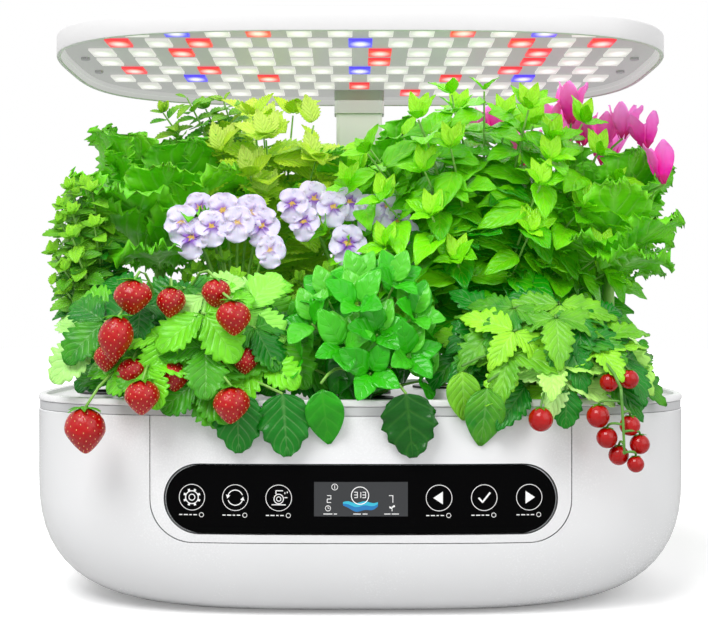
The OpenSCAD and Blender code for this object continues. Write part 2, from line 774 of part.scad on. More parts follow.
// the stalk of a hanging fruit, from a, over the lip of the deck and down to the fruit at b
module fruit_stalk(a, b, cap = 6) {
    top = max(b[2] + 9, base_h + 9);
    stalk([a, [(2 * a[0] + b[0]) / 3, (a[1] + b[1]) / 2, top + 14], [b[0], b[1] + 4, top], b], 1.1, 1);
    lobed(b + [0, 0, 0.8], 0, 0, cap, 5, 0.6, -0.06, 3, 0.8);
}

module strawberry_plant() color(leaf_green) as_mesh() {
    crown = stem_foot(PODS[0]);
    stalk([crown, crown + [0, 0, 46]], 5, 3);
    ends = [
        [-174, -98, 166], [-172, -66, 190], [-140, -82, 178], [-124, -76, 212], [-96, -104, 152],
        [-84, -64, 198], [-64, -92, 172]
    ];
    for (i = [0:len(ends) - 1]) trefoil(crown + [0, 0, 8 + 5 * i], ends[i], 25);
    hanging_leaf(crown + [0, 0, 6], -43, 136, 38, 32);
    for (i = [0:2]) {
        fruit_stalk(crown + [0, 0, 10 + 3 * i], [BERRIES[i][0], hang_y, BERRIES[i][1]]);
        fruit_stalk(crown + [0, 0, 24 + 5 * i], [HIGH_BERRIES[i][0], HIGH_BERRIES[i][1], HIGH_BERRIES[i][2]]);
    }
}

// a leaf that hangs down in front of the base, on a stalk over the lip
module hanging_leaf(a, x, top, l, w, wave = 2) {
    p = [x, hang_y + 4, top];
    stalk([a, [(a[0] + 2 * x) / 3, -118, base_h + 9], p + [0, -1, -3]], 1.2, 1);
    ruffled_leaf(p, -90, -80, l, w, wave, 0.1);
}

// a side shoot with its own foot at dx from the middle of the pod, and a leaf that hangs
module hanging_shoot(pod, dx, x, top, l, w) as_mesh() {
    foot = stem_foot(pod) + [dx, -8, 0];
    stalk([foot, foot + [0, 0, 14]], 1.9, 1.5);
    hanging_leaf(foot + [0, 0, 10], x, top, l, w);
}

module basil_front() color(leaf_dark) {
    bush(PODS[1], 154, 214, 44, 5, 5, cell_basil_front, 8, 0.35, 0.5);
    hanging_shoot(PODS[1], 8, 27, 135, 35, 33);
}

// cherry tomatoes: [x, z of the top, radius, how far in front of the others]
TOMATOES = [
    [102, 127, 7, 0], [134.6, 128.4, 6.6, 0], [152.6, 122.4, 5.9, 0], [139.6, 115.6, 6, 0],
    [158.2, 111.6, 5.7, 0], [146.9, 105.2, 5.8, -3], [155.2, 99.8, 4.8, 3]
];

module tomatoes() color("#d8181c") for (t = TOMATOES)
    translate([t[0], hang_y - t[3], t[1] - t[2]]) sphere(t[2], $fn = 24);

module tomato_vine() color(leaf_green) as_mesh() {
    crown = stem_foot(PODS[2]);
    stalk([crown, crown + [0, 0, 48]], 3.6, 2.4);
    ends = [
        [73.5, -103, 159], [68.5, -67.5, 182], [95.5, -93.5, 191], [120, -110, 164],
        [149, -93, 192], [172, -102.5, 159.5], [179, -66.5, 185.5]
    ];
    for (i = [0:len(ends) - 1]) trefoil(crown + [0, 0, 8 + 5 * i], ends[i], 25);
    fruit_stalk(crown + [0, 0, 12], [TOMATOES[0][0], hang_y, TOMATOES[0][1]], 5);
    hanging_leaf(crown + [0, 0, 6], 72, 138, 30, 26);
    // the truss: one stalk down beside the fruit, with a short arm to the top of each
    rail = [146, hang_y - 8.5];
    rail_top = base_h + 8;
    rail_low = 100;
    stalk([
        crown + [0, 0, 20], [(2 * crown[0] + rail[0]) / 3, -112, base_h + 22], [rail[0], rail[1], rail_top],
        [rail[0] + 2, rail[1], rail_low]
    ], 1.3, 1);
    for (i = [1:len(TOMATOES) - 1]) let (t = TOMATOES[i], y = hang_y - t[3], z = t[1] + 2) stalk([
        [rail[0] + 2 * (rail_top - z) / (rail_top - rail_low), rail[1], z], [t[0], y - 4, z + 0.6],
        [t[0], y, t[1] + 0.1]
    ], 0.8, 0.8, false);
}

module herb_left() color(leaf_green)
    bush(PODS[3], 158, 286, 38, 7, 5, cell_herb, 8, 0.45, 0.3);

// a violet on its stalk, which faces up and to the front
module pansy(a, b, r) {
    stalk(bowed(a, b, 4), 1, 0.7);
    lobed(b, 90, 150, r, 5, 0.34, 0.1, 3, 0.9);
}

module pansies(pod, cell, flowers) color("#cdb6ee") as_mesh() {
    foot = stem_foot(pod);
    bush(pod, 156, 198, 38, 3, 5, cell, -6, 0.5, 0.7);
    stalk([foot, foot + [0, 0, 88]], 2.6, 2.4);
    for (i = [0:len(flowers) - 1]) pansy(foot + [0, 0, 76 + 2 * i], flowers[i], 17);
}

module pansy_left() pansies(PODS[4], cell_pansy_left,
    [[-108, -22, 226], [-82, -20, 242], [-62, -22, 224], [-104, 8, 252], [-68, 10, 250]]);

module pansy_middle() pansies(PODS[5], cell_pansy_middle,
    [[-26, -22, 232], [-4, -20, 248], [20, -20, 226], [-26, 8, 256], [16, 10, 254]]);

module basil_tall() color(leaf_lime)
    bush(PODS[6], 160, 322, 48, 8, 5, cell_basil_tall, 10, 0.5, 0.5);

module lettuce_right() color(leaf_green) as_mesh()
    lettuce(PODS[7], 282, 66, 44, 44, cell_lettuce_right, 12);

module lettuce_left() color(leaf_green) as_mesh()
    lettuce(PODS[8], 314, 84, 58, 50, cell_lettuce_left, 15);

module lemon_balm() color(leaf_lime)
    bush(PODS[9], 170, 324, 42, 7, 5, cell_balm, 8, 0.55, 0.5);

module lettuce_middle() color(leaf_green) as_mesh()
    lettuce(PODS[10], 310, 76, 52, 50, cell_lettuce_middle, 13);

// a nodding flower whose petals sweep up like a crown
module crown_flower(p, h, r) {
    petals = 5;
    margin = [for (k = [0:2 * petals - 1]) let (a = 180 * k / petals, tip = k % 2 == 0)
        p + [(tip ? r : r * 0.45) * cos(a), (tip ? r : r * 0.45) * sin(a), tip ? h : h * 0.35]];
    sheet(margin, p, [0, 0, 1], 3);
}

module cyclamen() color("#d83cae") as_mesh() {
    foot = stem_foot(PODS[11]);
    bush(PODS[11], 160, 216, 42, 3, 5, cell_cyclamen, -6, 0.5, 0.7);
    stalk([foot, foot + [0, 0, 118]], 2.8, 2.2);
    flowers = [[142, 46, 304], [162, 42, 314], [184, 50, 300], [152, 82, 306], [178, 86, 298], [190, 68, 286]];
    for (i = [0:len(flowers) - 1]) {
        stalk([foot + [0, 0, 96 + 3 * i], flowers[i] + [0, 0, 0.6]], 1, 0.8);
        crown_flower(flowers[i], 23, 11);
    }
}

// ---------------------------------------------------------------- what is drawn

base_shell();
front_fascia();
control_panel();
touch_film();
lcd_module();
control_board();
dc_jack();
feet();
base_screws();
water_tank();
grow_deck();
pod_baskets();
grow_sponges();
post_socket();
post_outer();
post_collar();
fill_lid_pin();
pump_body();
pump_cover();
pump_shaft();
pump_spout();
pump_feet();
float_guide();
strawberry_plant();
strawberries();
basil_front();
tomato_vine();
tomatoes();
herb_left();
pansy_left();
pansy_middle();
basil_tall();
lettuce_right();
lettuce_left();
lemon_balm();
lettuce_middle();
cyclamen();
post_inner();
post_slider();
post_head();
lamp_housing();
led_board();
leds_white();
leds_red();
leds_blue();
lamp_screws();
fill_lid();
pump_impeller();
pump_rotor();
level_float();
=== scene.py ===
"""Countertop hydroponic garden: the looks of its tank base, touch panel, lamp head and twelve plants.

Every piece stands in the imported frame, in metres, with its place in its mesh. Sizes in the
classes below are in millimetres, measured from the table under the middle of the base, apart from
those of the studio, its lights and the camera, which are in metres.
"""

import logging
import math
import random
from dataclasses import dataclass
from enum import Enum
from typing import Sequence

import bmesh
import bpy
from mathutils import Matrix, Vector


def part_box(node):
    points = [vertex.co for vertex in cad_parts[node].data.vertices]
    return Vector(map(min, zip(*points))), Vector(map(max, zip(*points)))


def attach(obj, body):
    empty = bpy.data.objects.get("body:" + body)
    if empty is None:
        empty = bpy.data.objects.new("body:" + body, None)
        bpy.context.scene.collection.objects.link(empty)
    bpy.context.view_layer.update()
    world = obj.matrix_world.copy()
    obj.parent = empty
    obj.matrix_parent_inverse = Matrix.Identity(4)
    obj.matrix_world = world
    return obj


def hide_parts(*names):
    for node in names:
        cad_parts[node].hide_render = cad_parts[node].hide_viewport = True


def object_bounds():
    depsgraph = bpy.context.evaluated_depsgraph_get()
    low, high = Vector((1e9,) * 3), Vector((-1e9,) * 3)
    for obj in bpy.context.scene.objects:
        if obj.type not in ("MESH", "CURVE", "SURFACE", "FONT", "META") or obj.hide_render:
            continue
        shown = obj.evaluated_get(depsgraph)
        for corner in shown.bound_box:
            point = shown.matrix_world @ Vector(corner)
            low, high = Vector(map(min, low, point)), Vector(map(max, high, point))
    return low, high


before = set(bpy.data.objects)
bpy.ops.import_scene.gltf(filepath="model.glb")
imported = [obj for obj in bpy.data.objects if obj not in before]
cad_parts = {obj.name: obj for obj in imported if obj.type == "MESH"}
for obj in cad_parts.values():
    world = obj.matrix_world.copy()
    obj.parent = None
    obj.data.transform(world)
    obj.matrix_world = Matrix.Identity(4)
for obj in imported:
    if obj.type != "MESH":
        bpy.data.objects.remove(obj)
cad_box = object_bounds()
log = logging.getLogger("garden")
MM = 0.001
FULL_TURN = 6.2832
FIFTH_TURN = 1.2566
SIXTH_TURN = 1.0472
GOLDEN_TURN = 2.39996
RIPPLE = 6.28
UP = Vector((0, 0, 1))
Colour = tuple[float, float, float]
Place = tuple[float, float, float]
Span = tuple[float, float]
Kinds = Sequence[bpy.types.Mesh]
BMesh = bmesh.types.BMesh


class Body(Enum):
    """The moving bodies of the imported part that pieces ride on."""

    BASE = "base"
    LAMP = "lamp"


# ------------------------------------------------------------------ finishes


class Groups:
    """Shader node groups that several finishes share, each built once."""

    made: dict[str, bpy.types.NodeTree] = {}

    @staticmethod
    def start(name: str, inputs: dict[str, float], outputs: Sequence[str]) -> bpy.types.NodeTree:
        """Starts a group with float inputs and float outputs.

        Args:
            name: name of the group.
            inputs: default value of each input, by name.
            outputs: names of the outputs.

        Returns:
            The node tree, with its input and output nodes in place.
        """
        tree = bpy.data.node_groups.new(name, "ShaderNodeTree")
        for key, value in inputs.items():
            socket = tree.interface.new_socket(key, in_out="INPUT", socket_type="NodeSocketFloat")
            socket.default_value = value
        for key in outputs:
            tree.interface.new_socket(key, in_out="OUTPUT", socket_type="NodeSocketFloat")
        tree.nodes.new("NodeGroupInput").name = "in"
        tree.nodes.new("NodeGroupOutput").name = "out"
        return tree

    @classmethod
    def grain(cls) -> bpy.types.NodeTree:
        """The fine grain of moulded plastic: a roughness, a height and a broad shade.

        Returns:
            The group, with the inputs Scale, Smooth and Rough.
        """
        if "grain" not in cls.made:
            tree = cls.start("moulded_grain", {"Scale": 900.0, "Smooth": 0.3, "Rough": 0.4},
                             ("Roughness", "Height", "Shade"))
            net = Net(tree)
            given, out = tree.nodes["in"].outputs, tree.nodes["out"]
            spot = net.add("ShaderNodeTexCoord").outputs["Object"]
            fine = net.add("ShaderNodeTexNoise", Vector=spot, Scale=given["Scale"], Detail=3.0)
            broad = net.add("ShaderNodeTexNoise", Vector=spot, Scale=14.0, Detail=2.0)
            halves = (net.math("MULTIPLY", noise.outputs[0], 0.5) for noise in (fine, broad))
            mixed = net.math("ADD", *halves)
            net.put(out.inputs["Roughness"], net.remap(mixed, (0.3, 0.7), (given["Smooth"], given["Rough"])))
            net.put(out.inputs["Height"], fine.outputs[0])
            net.put(out.inputs["Shade"], broad.outputs[0])
            cls.made["grain"] = tree
        return cls.made["grain"]

    @classmethod
    def veins(cls) -> bpy.types.NodeTree:
        """The veins of a leaf, from its own UV map: V runs from the stalk to the tip.

        Returns:
            The group, with the inputs Pairs, Slant, Width and Spine and the outputs Veins and Height.
        """
        if "veins" not in cls.made:
            tree = cls.start("leaf_veins", {"Pairs": 6.0, "Slant": 0.35, "Width": 0.16, "Spine": 14.0},
                             ("Veins", "Height"))
            net = Net(tree)
            given = tree.nodes["in"].outputs
            uv = net.add("ShaderNodeSeparateXYZ", Vector=net.add("ShaderNodeTexCoord").outputs["UV"])
            side = net.math("MULTIPLY", net.math("ABSOLUTE", net.math("SUBTRACT", uv.outputs[0], 0.5)), 2.0)
            along = net.math("SUBTRACT", uv.outputs[1], net.math("MULTIPLY", side, given["Slant"]))
            beat = net.math("PINGPONG", net.math("MULTIPLY", along, given["Pairs"]), 0.5)
            ribs = net.math("SUBTRACT", 1.0, net.math("DIVIDE", beat, given["Width"]), clamp=True)
            fade = net.math("SUBTRACT", 1.0, net.math("MULTIPLY", side, 0.6))
            ribs = net.math("MULTIPLY", ribs, fade)
            taper = net.math("ADD", 0.25, net.math("MULTIPLY", uv.outputs[1], 1.5))
            slim = net.math("MULTIPLY", net.math("MULTIPLY", side, given["Spine"]), taper)
            spine = net.math("SUBTRACT", 1.0, slim, clamp=True)
            veins = net.math("MAXIMUM", ribs, spine)
            puff = net.math("MULTIPLY", beat, 2.0)
            height = net.math("SUBTRACT", puff, veins)
            net.put(tree.nodes["out"].inputs["Veins"], veins)
            net.put(tree.nodes["out"].inputs["Height"], height)
            cls.made["veins"] = tree
        return cls.made["veins"]


class Net:
    """Short calls that add nodes to a node tree and link them."""

    mix_first, mix_second, mixed = 6, 7, 2  # the colour sockets of a Mix node

    def __init__(self, tree: bpy.types.NodeTree) -> None:
        """Keeps the tree that the nodes go into."""
        self.tree = tree

    def put(self, socket: bpy.types.NodeSocket, value: object) -> None:
        """Links an output to a socket, or sets the socket's own value.

        Args:
            socket: the socket.
            value: the output or the value.
        """
        if isinstance(value, bpy.types.NodeSocket):
            self.tree.links.new(value, socket)
        else:
            socket.default_value = value

    def add(self, kind: str, **sockets: object) -> bpy.types.Node:
        """Adds a node.

        Args:
            kind: type name of the node.
            sockets: what goes into its inputs, by name, with _ for a space.

        Returns:
            The new node.
        """
        node = self.tree.nodes.new(kind)
        for key, value in sockets.items():
            self.put(node.inputs[key.replace("_", " ")], value)
        return node

    def math(self, operation: str, first: object, second: object = 0.0,
             clamp: bool = False) -> bpy.types.NodeSocket:
        """Adds a Math node.

        Args:
            operation: its operation.
            first: its first input.
            second: its second input.
            clamp: whether its result stays from 0 to 1.

        Returns:
            Its output.
        """
        node = self.tree.nodes.new("ShaderNodeMath")
        node.operation, node.use_clamp = operation, clamp
        self.put(node.inputs[0], first)
        self.put(node.inputs[1], second)
        return node.outputs[0]

    def mix(self, share: object, first: object, second: object) -> bpy.types.NodeSocket:
        """Adds a colour Mix node.

        Args:
            share: how much of the second colour there is.
            first: a colour or an output.
            second: a colour or an output.

        Returns:
            The mixed colour.
        """
        node = self.tree.nodes.new("ShaderNodeMix")
        node.data_type = "RGBA"
        self.put(node.inputs[0], share)
        self.put(node.inputs[self.mix_first], (*first, 1.0) if isinstance(first, tuple) else first)
        self.put(node.inputs[self.mix_second], (*second, 1.0) if isinstance(second, tuple) else second)
        return node.outputs[self.mixed]

    def remap(self, value: object, start: Span = (0.0, 1.0), end: Span = (0.0, 1.0)) -> bpy.types.NodeSocket:
        """Adds a Map Range node.

        Args:
            value: its input.
            start: the range that it maps from.
            end: the range that it maps to, in numbers or outputs.

        Returns:
            Its result.
        """
        node = self.add("ShaderNodeMapRange", Value=value, From_Min=start[0], From_Max=start[1],
                        To_Min=end[0], To_Max=end[1])
        return node.outputs["Result"]

    def group(self, tree: bpy.types.NodeTree, **values: float) -> bpy.types.Node:
        """Places a node group.

        Args:
            tree: the group.
            values: its input values, by name.

        Returns:
            The group node.
        """
        node = self.tree.nodes.new("ShaderNodeGroup")
        node.node_tree = tree
        for key, value in values.items():
            node.inputs[key].default_value = value
        return node


class Finish:
    """A finish that makes one Blender material."""

    name: str

    def fresh(self, **plain: object) -> tuple[bpy.types.Material, Net, bpy.types.Node]:
        """Starts the material.

        Args:
            plain: values of the shader's own sockets, by name, with _ for a space.

        Returns:
            The material, its nodes and its Principled BSDF.
        """
        material = bpy.data.materials.new(self.name)
        material.use_nodes = True
        shader = material.node_tree.nodes["Principled BSDF"]
        for key, value in plain.items():
            shader.inputs[key.replace("_", " ")].default_value = value
        return material, Net(material.node_tree), shader

    def bump(self, net: Net, shader: bpy.types.Node, height: object, depth: float,
             strength: float = 1.0) -> None:
        """Puts a bump on the shader.

        Args:
            net: the nodes of the material.
            shader: its Principled BSDF.
            height: the height, as an output.
            depth: the depth of the bump in metres.
            strength: how far the bump tells.
        """
        node = net.add("ShaderNodeBump", Height=height, Distance=depth, Strength=strength)
        net.put(shader.inputs["Normal"], node.outputs[0])


@dataclass(frozen=True)
class Moulded(Finish):
    """Moulded plastic, rubber or painted metal, with a fine grain."""

    name: str
    colour: Colour
    smooth: float = 0.25
    rough: float = 0.35
    scale: float = 900.0
    depth: float = 0.00002
    metallic: float = 0.0
    coat: float = 0.0
    ior: float = 1.5

    def material(self) -> bpy.types.Material:
        """Builds the material.

        Returns:
            The material.
        """
        material, net, shader = self.fresh(Metallic=self.metallic, Coat_Weight=self.coat, Coat_Roughness=0.08,
                                           IOR=self.ior)
        grain = net.group(Groups.grain(), Scale=self.scale, Smooth=self.smooth, Rough=self.rough)
        darker = tuple(0.95 * part for part in self.colour)
        net.put(shader.inputs["Base Color"], net.mix(grain.outputs["Shade"], darker, self.colour))
        net.put(shader.inputs["Roughness"], grain.outputs["Roughness"])
        self.bump(net, shader, grain.outputs["Height"], self.depth)
        return material


@dataclass(frozen=True)
class Leafy(Finish):
    """A living leaf, whose tone runs from deep to fresh by the attribute tone; a tone above 1 paints a pale
    sheen and the leaf has a faint painted glow.
    """

    name: str
    deep: Colour
    fresh_green: Colour
    vein: Colour
    pairs: float = 6.0
    slant: float = 0.35
    vein_share: float = 0.5
    rough: float = 0.42
    depth: float = 0.0006
    spine: float = 14.0

    def material(self) -> bpy.types.Material:
        """Builds the material.

        Returns:
            The material.
        """
        # The faint emission in the leaf's own colour is a painted glow.
        material, net, shader = self.fresh(Subsurface_Weight=0.12, Subsurface_Scale=0.002, IOR=1.36,
                                           Emission_Strength=0.05)
        shader.inputs["Subsurface Radius"].default_value = (0.6, 1.0, 0.2)
        tone = net.add("ShaderNodeAttribute")
        tone.attribute_name = "tone"
        spot = net.add("ShaderNodeTexCoord").outputs["Object"]
        patch = net.add("ShaderNodeTexNoise", Vector=spot, Scale=70.0, Detail=3.0)
        shift = net.math("MULTIPLY", net.math("SUBTRACT", patch.outputs[0], 0.5), 0.7)
        share = net.math("ADD", tone.outputs["Fac"], shift, clamp=True)
        veins = net.group(Groups.veins(), Pairs=self.pairs, Slant=self.slant, Spine=self.spine)
        # Tones above 1 turn the blade pale towards the vein colour: a painted sheen standing in for a
        # reflection.
        painted_sheen = net.remap(tone.outputs["Fac"], (1.0, 1.4), (0.0, 0.7))
        blade = net.mix(painted_sheen, net.mix(share, self.deep, self.fresh_green), self.vein)
        lined = net.math("MULTIPLY", veins.outputs["Veins"], self.vein_share)
        colour = net.mix(lined, blade, self.vein)
        net.put(shader.inputs["Base Color"], colour)
        net.put(shader.inputs["Emission Color"], colour)
        rough = net.remap(patch.outputs[0], end=(self.rough - 0.08, self.rough + 0.12))
        net.put(shader.inputs["Roughness"], rough)
        self.bump(net, shader, veins.outputs["Height"], self.depth, 0.8)
        return material


@dataclass(frozen=True)
class Stem(Finish):
    """A green or reddish stalk with fine lengthwise flecks."""

    name: str
    low: Colour
    high: Colour

    def material(self) -> bpy.types.Material:
        """Builds the material.

        Returns:
            The material.
        """
        material, net, shader = self.fresh(Roughness=0.45)
        spot = net.add("ShaderNodeTexCoord").outputs["Object"]
        patch = net.add("ShaderNodeTexNoise", Vector=spot, Scale=180.0, Detail=2.0)
        net.put(shader.inputs["Base Color"], net.mix(patch.outputs[0], self.low, self.high))
        self.bump(net, shader, patch.outputs[0], 0.0002)
        return material


@dataclass(frozen=True)
class Petal(Finish):
    """A petal that changes colour from its foot to its margin, with fine lengthwise lines."""

    name: str
    foot: Colour
    middle: Colour
    margin: Colour
    foot_end: float = 0.3
    middle_at: float = 0.5
    margin_at: float = 1.2

    def material(self) -> bpy.types.Material:
        """Builds the material.

        Returns:
            The material.
        """
        # The emission in the petal's own colour is a painted glow.
        material, net, shader = self.fresh(Roughness=0.55, Sheen_Weight=0.06, Subsurface_Weight=0.15,
                                           Subsurface_Scale=0.002, Emission_Strength=0.12)
        uv = net.add("ShaderNodeSeparateXYZ", Vector=net.add("ShaderNodeTexCoord").outputs["UV"])
        tone = net.add("ShaderNodeAttribute")
        tone.attribute_name = "tone"
        spot = net.add("ShaderNodeTexCoord").outputs["Object"]
        patch = net.add("ShaderNodeTexNoise", Vector=spot, Scale=160.0, Detail=3.0)
        lines = net.add("ShaderNodeTexNoise", Vector=net.add(
            "ShaderNodeCombineXYZ", X=net.math("MULTIPLY", uv.outputs[0], 40.0), Y=uv.outputs[1]).outputs[0],
            Scale=1.0, Detail=1.0)
        height = net.math("ADD", uv.outputs[1],
                          net.math("MULTIPLY", net.math("SUBTRACT", patch.outputs[0], 0.5), 0.3))
        low = net.remap(height, (self.foot_end * 0.6, self.foot_end))
        toned = net.math("ADD", height, net.math("MULTIPLY", tone.outputs["Fac"], 0.25))
        high = net.remap(toned, (self.middle_at, self.margin_at))
        blade = net.mix(high, net.mix(low, self.foot, self.middle), self.margin)
        colour = net.mix(net.math("MULTIPLY", lines.outputs[0], 0.25), blade, self.middle)
        net.put(shader.inputs["Base Color"], colour)
        net.put(shader.inputs["Emission Color"], colour)
        self.bump(net, shader, lines.outputs[0], 0.0003, 0.6)
        return material


@dataclass(frozen=True)
class FruitSkin(Finish):
    """Ripe glossy skin, mottled from a deep to a bright red."""

    name: str
    deep: Colour
    bright: Colour
    rough: float = 0.2

    def material(self) -> bpy.types.Material:
        """Builds the material.

        Returns:
            The material.
        """
        material, net, shader = self.fresh(Subsurface_Weight=0.04, Subsurface_Scale=0.001, Coat_Weight=0.25,
                                           Coat_Roughness=0.06, IOR=1.35)
        spot = net.add("ShaderNodeTexCoord").outputs["Object"]
        patch = net.add("ShaderNodeTexNoise", Vector=spot, Scale=90.0, Detail=3.0)
        fine = net.add("ShaderNodeTexNoise", Vector=spot, Scale=700.0, Detail=1.0)
        net.put(shader.inputs["Base Color"], net.mix(patch.outputs[0], self.deep, self.bright))
        net.put(shader.inputs["Roughness"],
                net.math("ADD", net.math("MULTIPLY", patch.outputs[0], 0.15), self.rough))
        self.bump(net, shader, fine.outputs[0], 0.0001)
        return material


@dataclass(frozen=True)
class Lit(Finish):
    """A lit light tile with its own UV map: hot in its middle, coloured towards its edges."""

    name: str
    core: Colour
    rim: Colour
    strength: float

    def material(self) -> bpy.types.Material:
        """Builds the material.

        Returns:
            The material.
        """
        material, net, shader = self.fresh(Roughness=0.3, Emission_Strength=self.strength)
        uv = net.add("ShaderNodeTexCoord").outputs["UV"]
        centred = net.add("ShaderNodeVectorMath", Vector=uv)
        centred.operation = "SUBTRACT"
        centred.inputs[1].default_value = (0.5, 0.5, 0.0)
        away = net.add("ShaderNodeVectorMath", Vector=centred.outputs[0])
        away.operation = "LENGTH"
        colour = net.mix(net.remap(away.outputs["Value"], (0.08, 0.46)), self.core, self.rim)
        net.put(shader.inputs["Base Color"], net.mix(0.75, colour, (0.1, 0.1, 0.1)))
        net.put(shader.inputs["Emission Color"], colour)
        return material


@dataclass(frozen=True)
class PlateWithPaintedGlow(Finish):
    """The white plate between the light tiles, with a dark base colour and a painted glow in its emission,
    blotched by noise, that stands in for the light of the tiles on it.
    """

    name: str
    low: Colour
    high: Colour
    strength: float

    def material(self) -> bpy.types.Material:
        """Builds the material.

        Returns:
            The material.
        """
        # The emission is a painted glow: the plate is no lamp.
        material, net, shader = self.fresh(Roughness=0.4, Emission_Strength=self.strength)
        spot = net.add("ShaderNodeTexCoord").outputs["Object"]
        patch = net.add("ShaderNodeTexNoise", Vector=spot, Scale=14.0, Detail=3.0)
        colour = net.mix(patch.outputs[0], self.low, self.high)
        net.put(shader.inputs["Base Color"], net.mix(0.85, colour, (0.06, 0.06, 0.06)))
        net.put(shader.inputs["Emission Color"], colour)
        return material


class Palette:
    """Builds each finish once and hands out its material."""

    made: dict[str, bpy.types.Material] = {}

    @classmethod
    def of(cls, finish: Finish) -> bpy.types.Material:
        """Hands out the material of a finish.

        Args:
            finish: the finish.

        Returns:
            Its material.
        """
        if finish.name not in cls.made:
            cls.made[finish.name] = finish.material()
        return cls.made[finish.name]


WHITE_SHELL = Moulded("white_shell", (0.86, 0.865, 0.875), 0.2, 0.3, coat=0.3)
DECK_WHITE = Moulded("deck_white", (0.88, 0.88, 0.885), 0.25, 0.36, coat=0.2)
RIM_GREY = Moulded("rim_grey", (0.6, 0.605, 0.615), 0.35, 0.5)
LAMP_WHITE = Moulded("lamp_white", (0.76, 0.757, 0.76), 0.28, 0.4, coat=0.1)
# The LED board and the lamp's inner rim glow in their own emission: painted light standing in for the light
# of the tiles.
LED_PLATE_PAINTED_GLOW = PlateWithPaintedGlow("led_plate_painted_glow", (0.42, 0.42, 0.415), (0.52, 0.515, 0.51), 0.66)
LAMP_INNER_PAINTED_GLOW = PlateWithPaintedGlow("lamp_inner_painted_glow", (0.6, 0.6, 0.59), (0.66, 0.66, 0.65), 0.72)
POST_GREY = Moulded("post_grey", (0.52, 0.525, 0.535), 0.3, 0.42)
POST_WHITE = Moulded("post_white", (0.72, 0.725, 0.735), 0.26, 0.38)
PANEL_BLACK = Moulded("panel_black", (0.0012, 0.0012, 0.0014), 0.05, 0.12, 1500.0, 0.000003, ior=1.1)
PANEL_EDGE = Moulded("panel_edge", (0.34, 0.35, 0.36), 0.2, 0.3, metallic=0.6)
MARK_WHITE = Moulded("mark_white", (0.94, 0.94, 0.94), 0.3, 0.4)
SCREEN_GREY = Moulded("screen_grey", (0.055, 0.057, 0.06), 0.12, 0.2, ior=1.15)
SCREEN_BLUE = Moulded("screen_blue", (0.015, 0.2, 0.5), 0.2, 0.3)
SCREEN_CYAN = Moulded("screen_cyan", (0.04, 0.5, 0.68), 0.2, 0.3)
FILM_AMBER = Moulded("film_amber", (0.3, 0.16, 0.04), 0.3, 0.45)
BOARD_GREEN = Moulded("board_green", (0.03, 0.16, 0.06), 0.3, 0.45, 700.0)
RUBBER = Moulded("rubber_dark", (0.035, 0.035, 0.038), 0.6, 0.8, 700.0, 0.00005)
STEEL = Moulded("screw_steel", (0.55, 0.55, 0.56), 0.22, 0.38, metallic=1.0)
BASKET_BLACK = Moulded("basket_black", (0.02, 0.021, 0.023), 0.4, 0.55)
SPONGE = Moulded("sponge_brown", (0.09, 0.045, 0.022), 0.8, 0.95, 420.0, 0.0008)
HOSE = Moulded("hose_clear", (0.55, 0.57, 0.57), 0.3, 0.4)
PUMP_WHITE = Moulded("pump_white", (0.6, 0.6, 0.58), 0.35, 0.5)
FERRITE = Moulded("ferrite", (0.06, 0.06, 0.066), 0.5, 0.7, 600.0, 0.00005)
FLOAT_ORANGE = Moulded("float_orange", (0.72, 0.17, 0.02), 0.6, 0.8, 500.0, 0.0002)
LIGHT_WHITE = Lit("light_white", (1.0, 0.99, 0.94), (0.62, 0.61, 0.58), 1.0)
LIGHT_RED = Lit("light_red", (1.0, 0.66, 0.62), (0.75, 0.01, 0.03), 1.15)
LIGHT_BLUE = Lit("light_blue", (0.85, 0.82, 1.0), (0.06, 0.03, 0.8), 1.15)
STEM_GREEN = Stem("stem_green", (0.16, 0.42, 0.05), (0.3, 0.6, 0.1))
STEM_DARK = Stem("stem_dark", (0.05, 0.2, 0.02), (0.16, 0.4, 0.05))
BASIL_LEAF = Leafy("basil_leaf", (0.002, 0.085, 0.002), (0.03, 0.5, 0.004), (0.3, 0.8, 0.1),
                   pairs=4, slant=0.3, vein_share=0.06, rough=0.22, depth=0.0002)
LIME_LEAF = Leafy("lime_leaf", (0.008, 0.3, 0.002), (0.24, 0.88, 0.005), (0.72, 0.97, 0.06),
                  pairs=5, slant=0.4, vein_share=0.14, rough=0.26, depth=0.0002)
BALM_LEAF = Leafy("balm_leaf", (0.06, 0.42, 0.006), (0.56, 0.9, 0.03), (0.8, 0.95, 0.4),
                  pairs=6, slant=0.4, vein_share=0.2, rough=0.36, depth=0.0004)
BERRY_LEAF = Leafy("berry_leaf", (0.004, 0.17, 0.006), (0.2, 0.78, 0.015), (0.62, 0.92, 0.4),
                   pairs=6, slant=0.4, vein_share=0.1, rough=0.3, depth=0.0003)
VINE_LEAF = Leafy("vine_leaf", (0.004, 0.2, 0.006), (0.36, 0.9, 0.03), (0.66, 0.94, 0.44),
                  pairs=6, slant=0.4, vein_share=0.12, rough=0.32, depth=0.0003)
SALAD_LEAF = Leafy("salad_leaf", (0.015, 0.33, 0.004), (0.24, 0.84, 0.012), (0.66, 0.92, 0.36),
                   pairs=5, slant=0.55, vein_share=0.24, rough=0.34, depth=0.0006, spine=5.0)
PANSY_PETAL = Petal("pansy_petal", (0.75, 0.5, 0.02), (0.22, 0.06, 0.5), (0.86, 0.8, 0.97),
                    foot_end=0.14, middle_at=0.22, margin_at=0.55)
CYCLAMEN_PETAL = Petal("cyclamen_petal", (0.6, 0.0, 0.16), (0.84, 0.0, 0.4), (0.96, 0.3, 0.8),
                       foot_end=0.25, middle_at=0.35, margin_at=1.05)
BERRY_SKIN = FruitSkin("berry_skin", (0.3, 0.0, 0.001), (0.56, 0.002, 0.003), 0.26)
SEED = Moulded("berry_seed", (0.86, 0.5, 0.2), 0.4, 0.5)
TOMATO_SKIN = FruitSkin("tomato_skin", (0.28, 0.0, 0.0), (0.55, 0.001, 0.001), 0.1)


# ------------------------------------------------------------------ making pieces


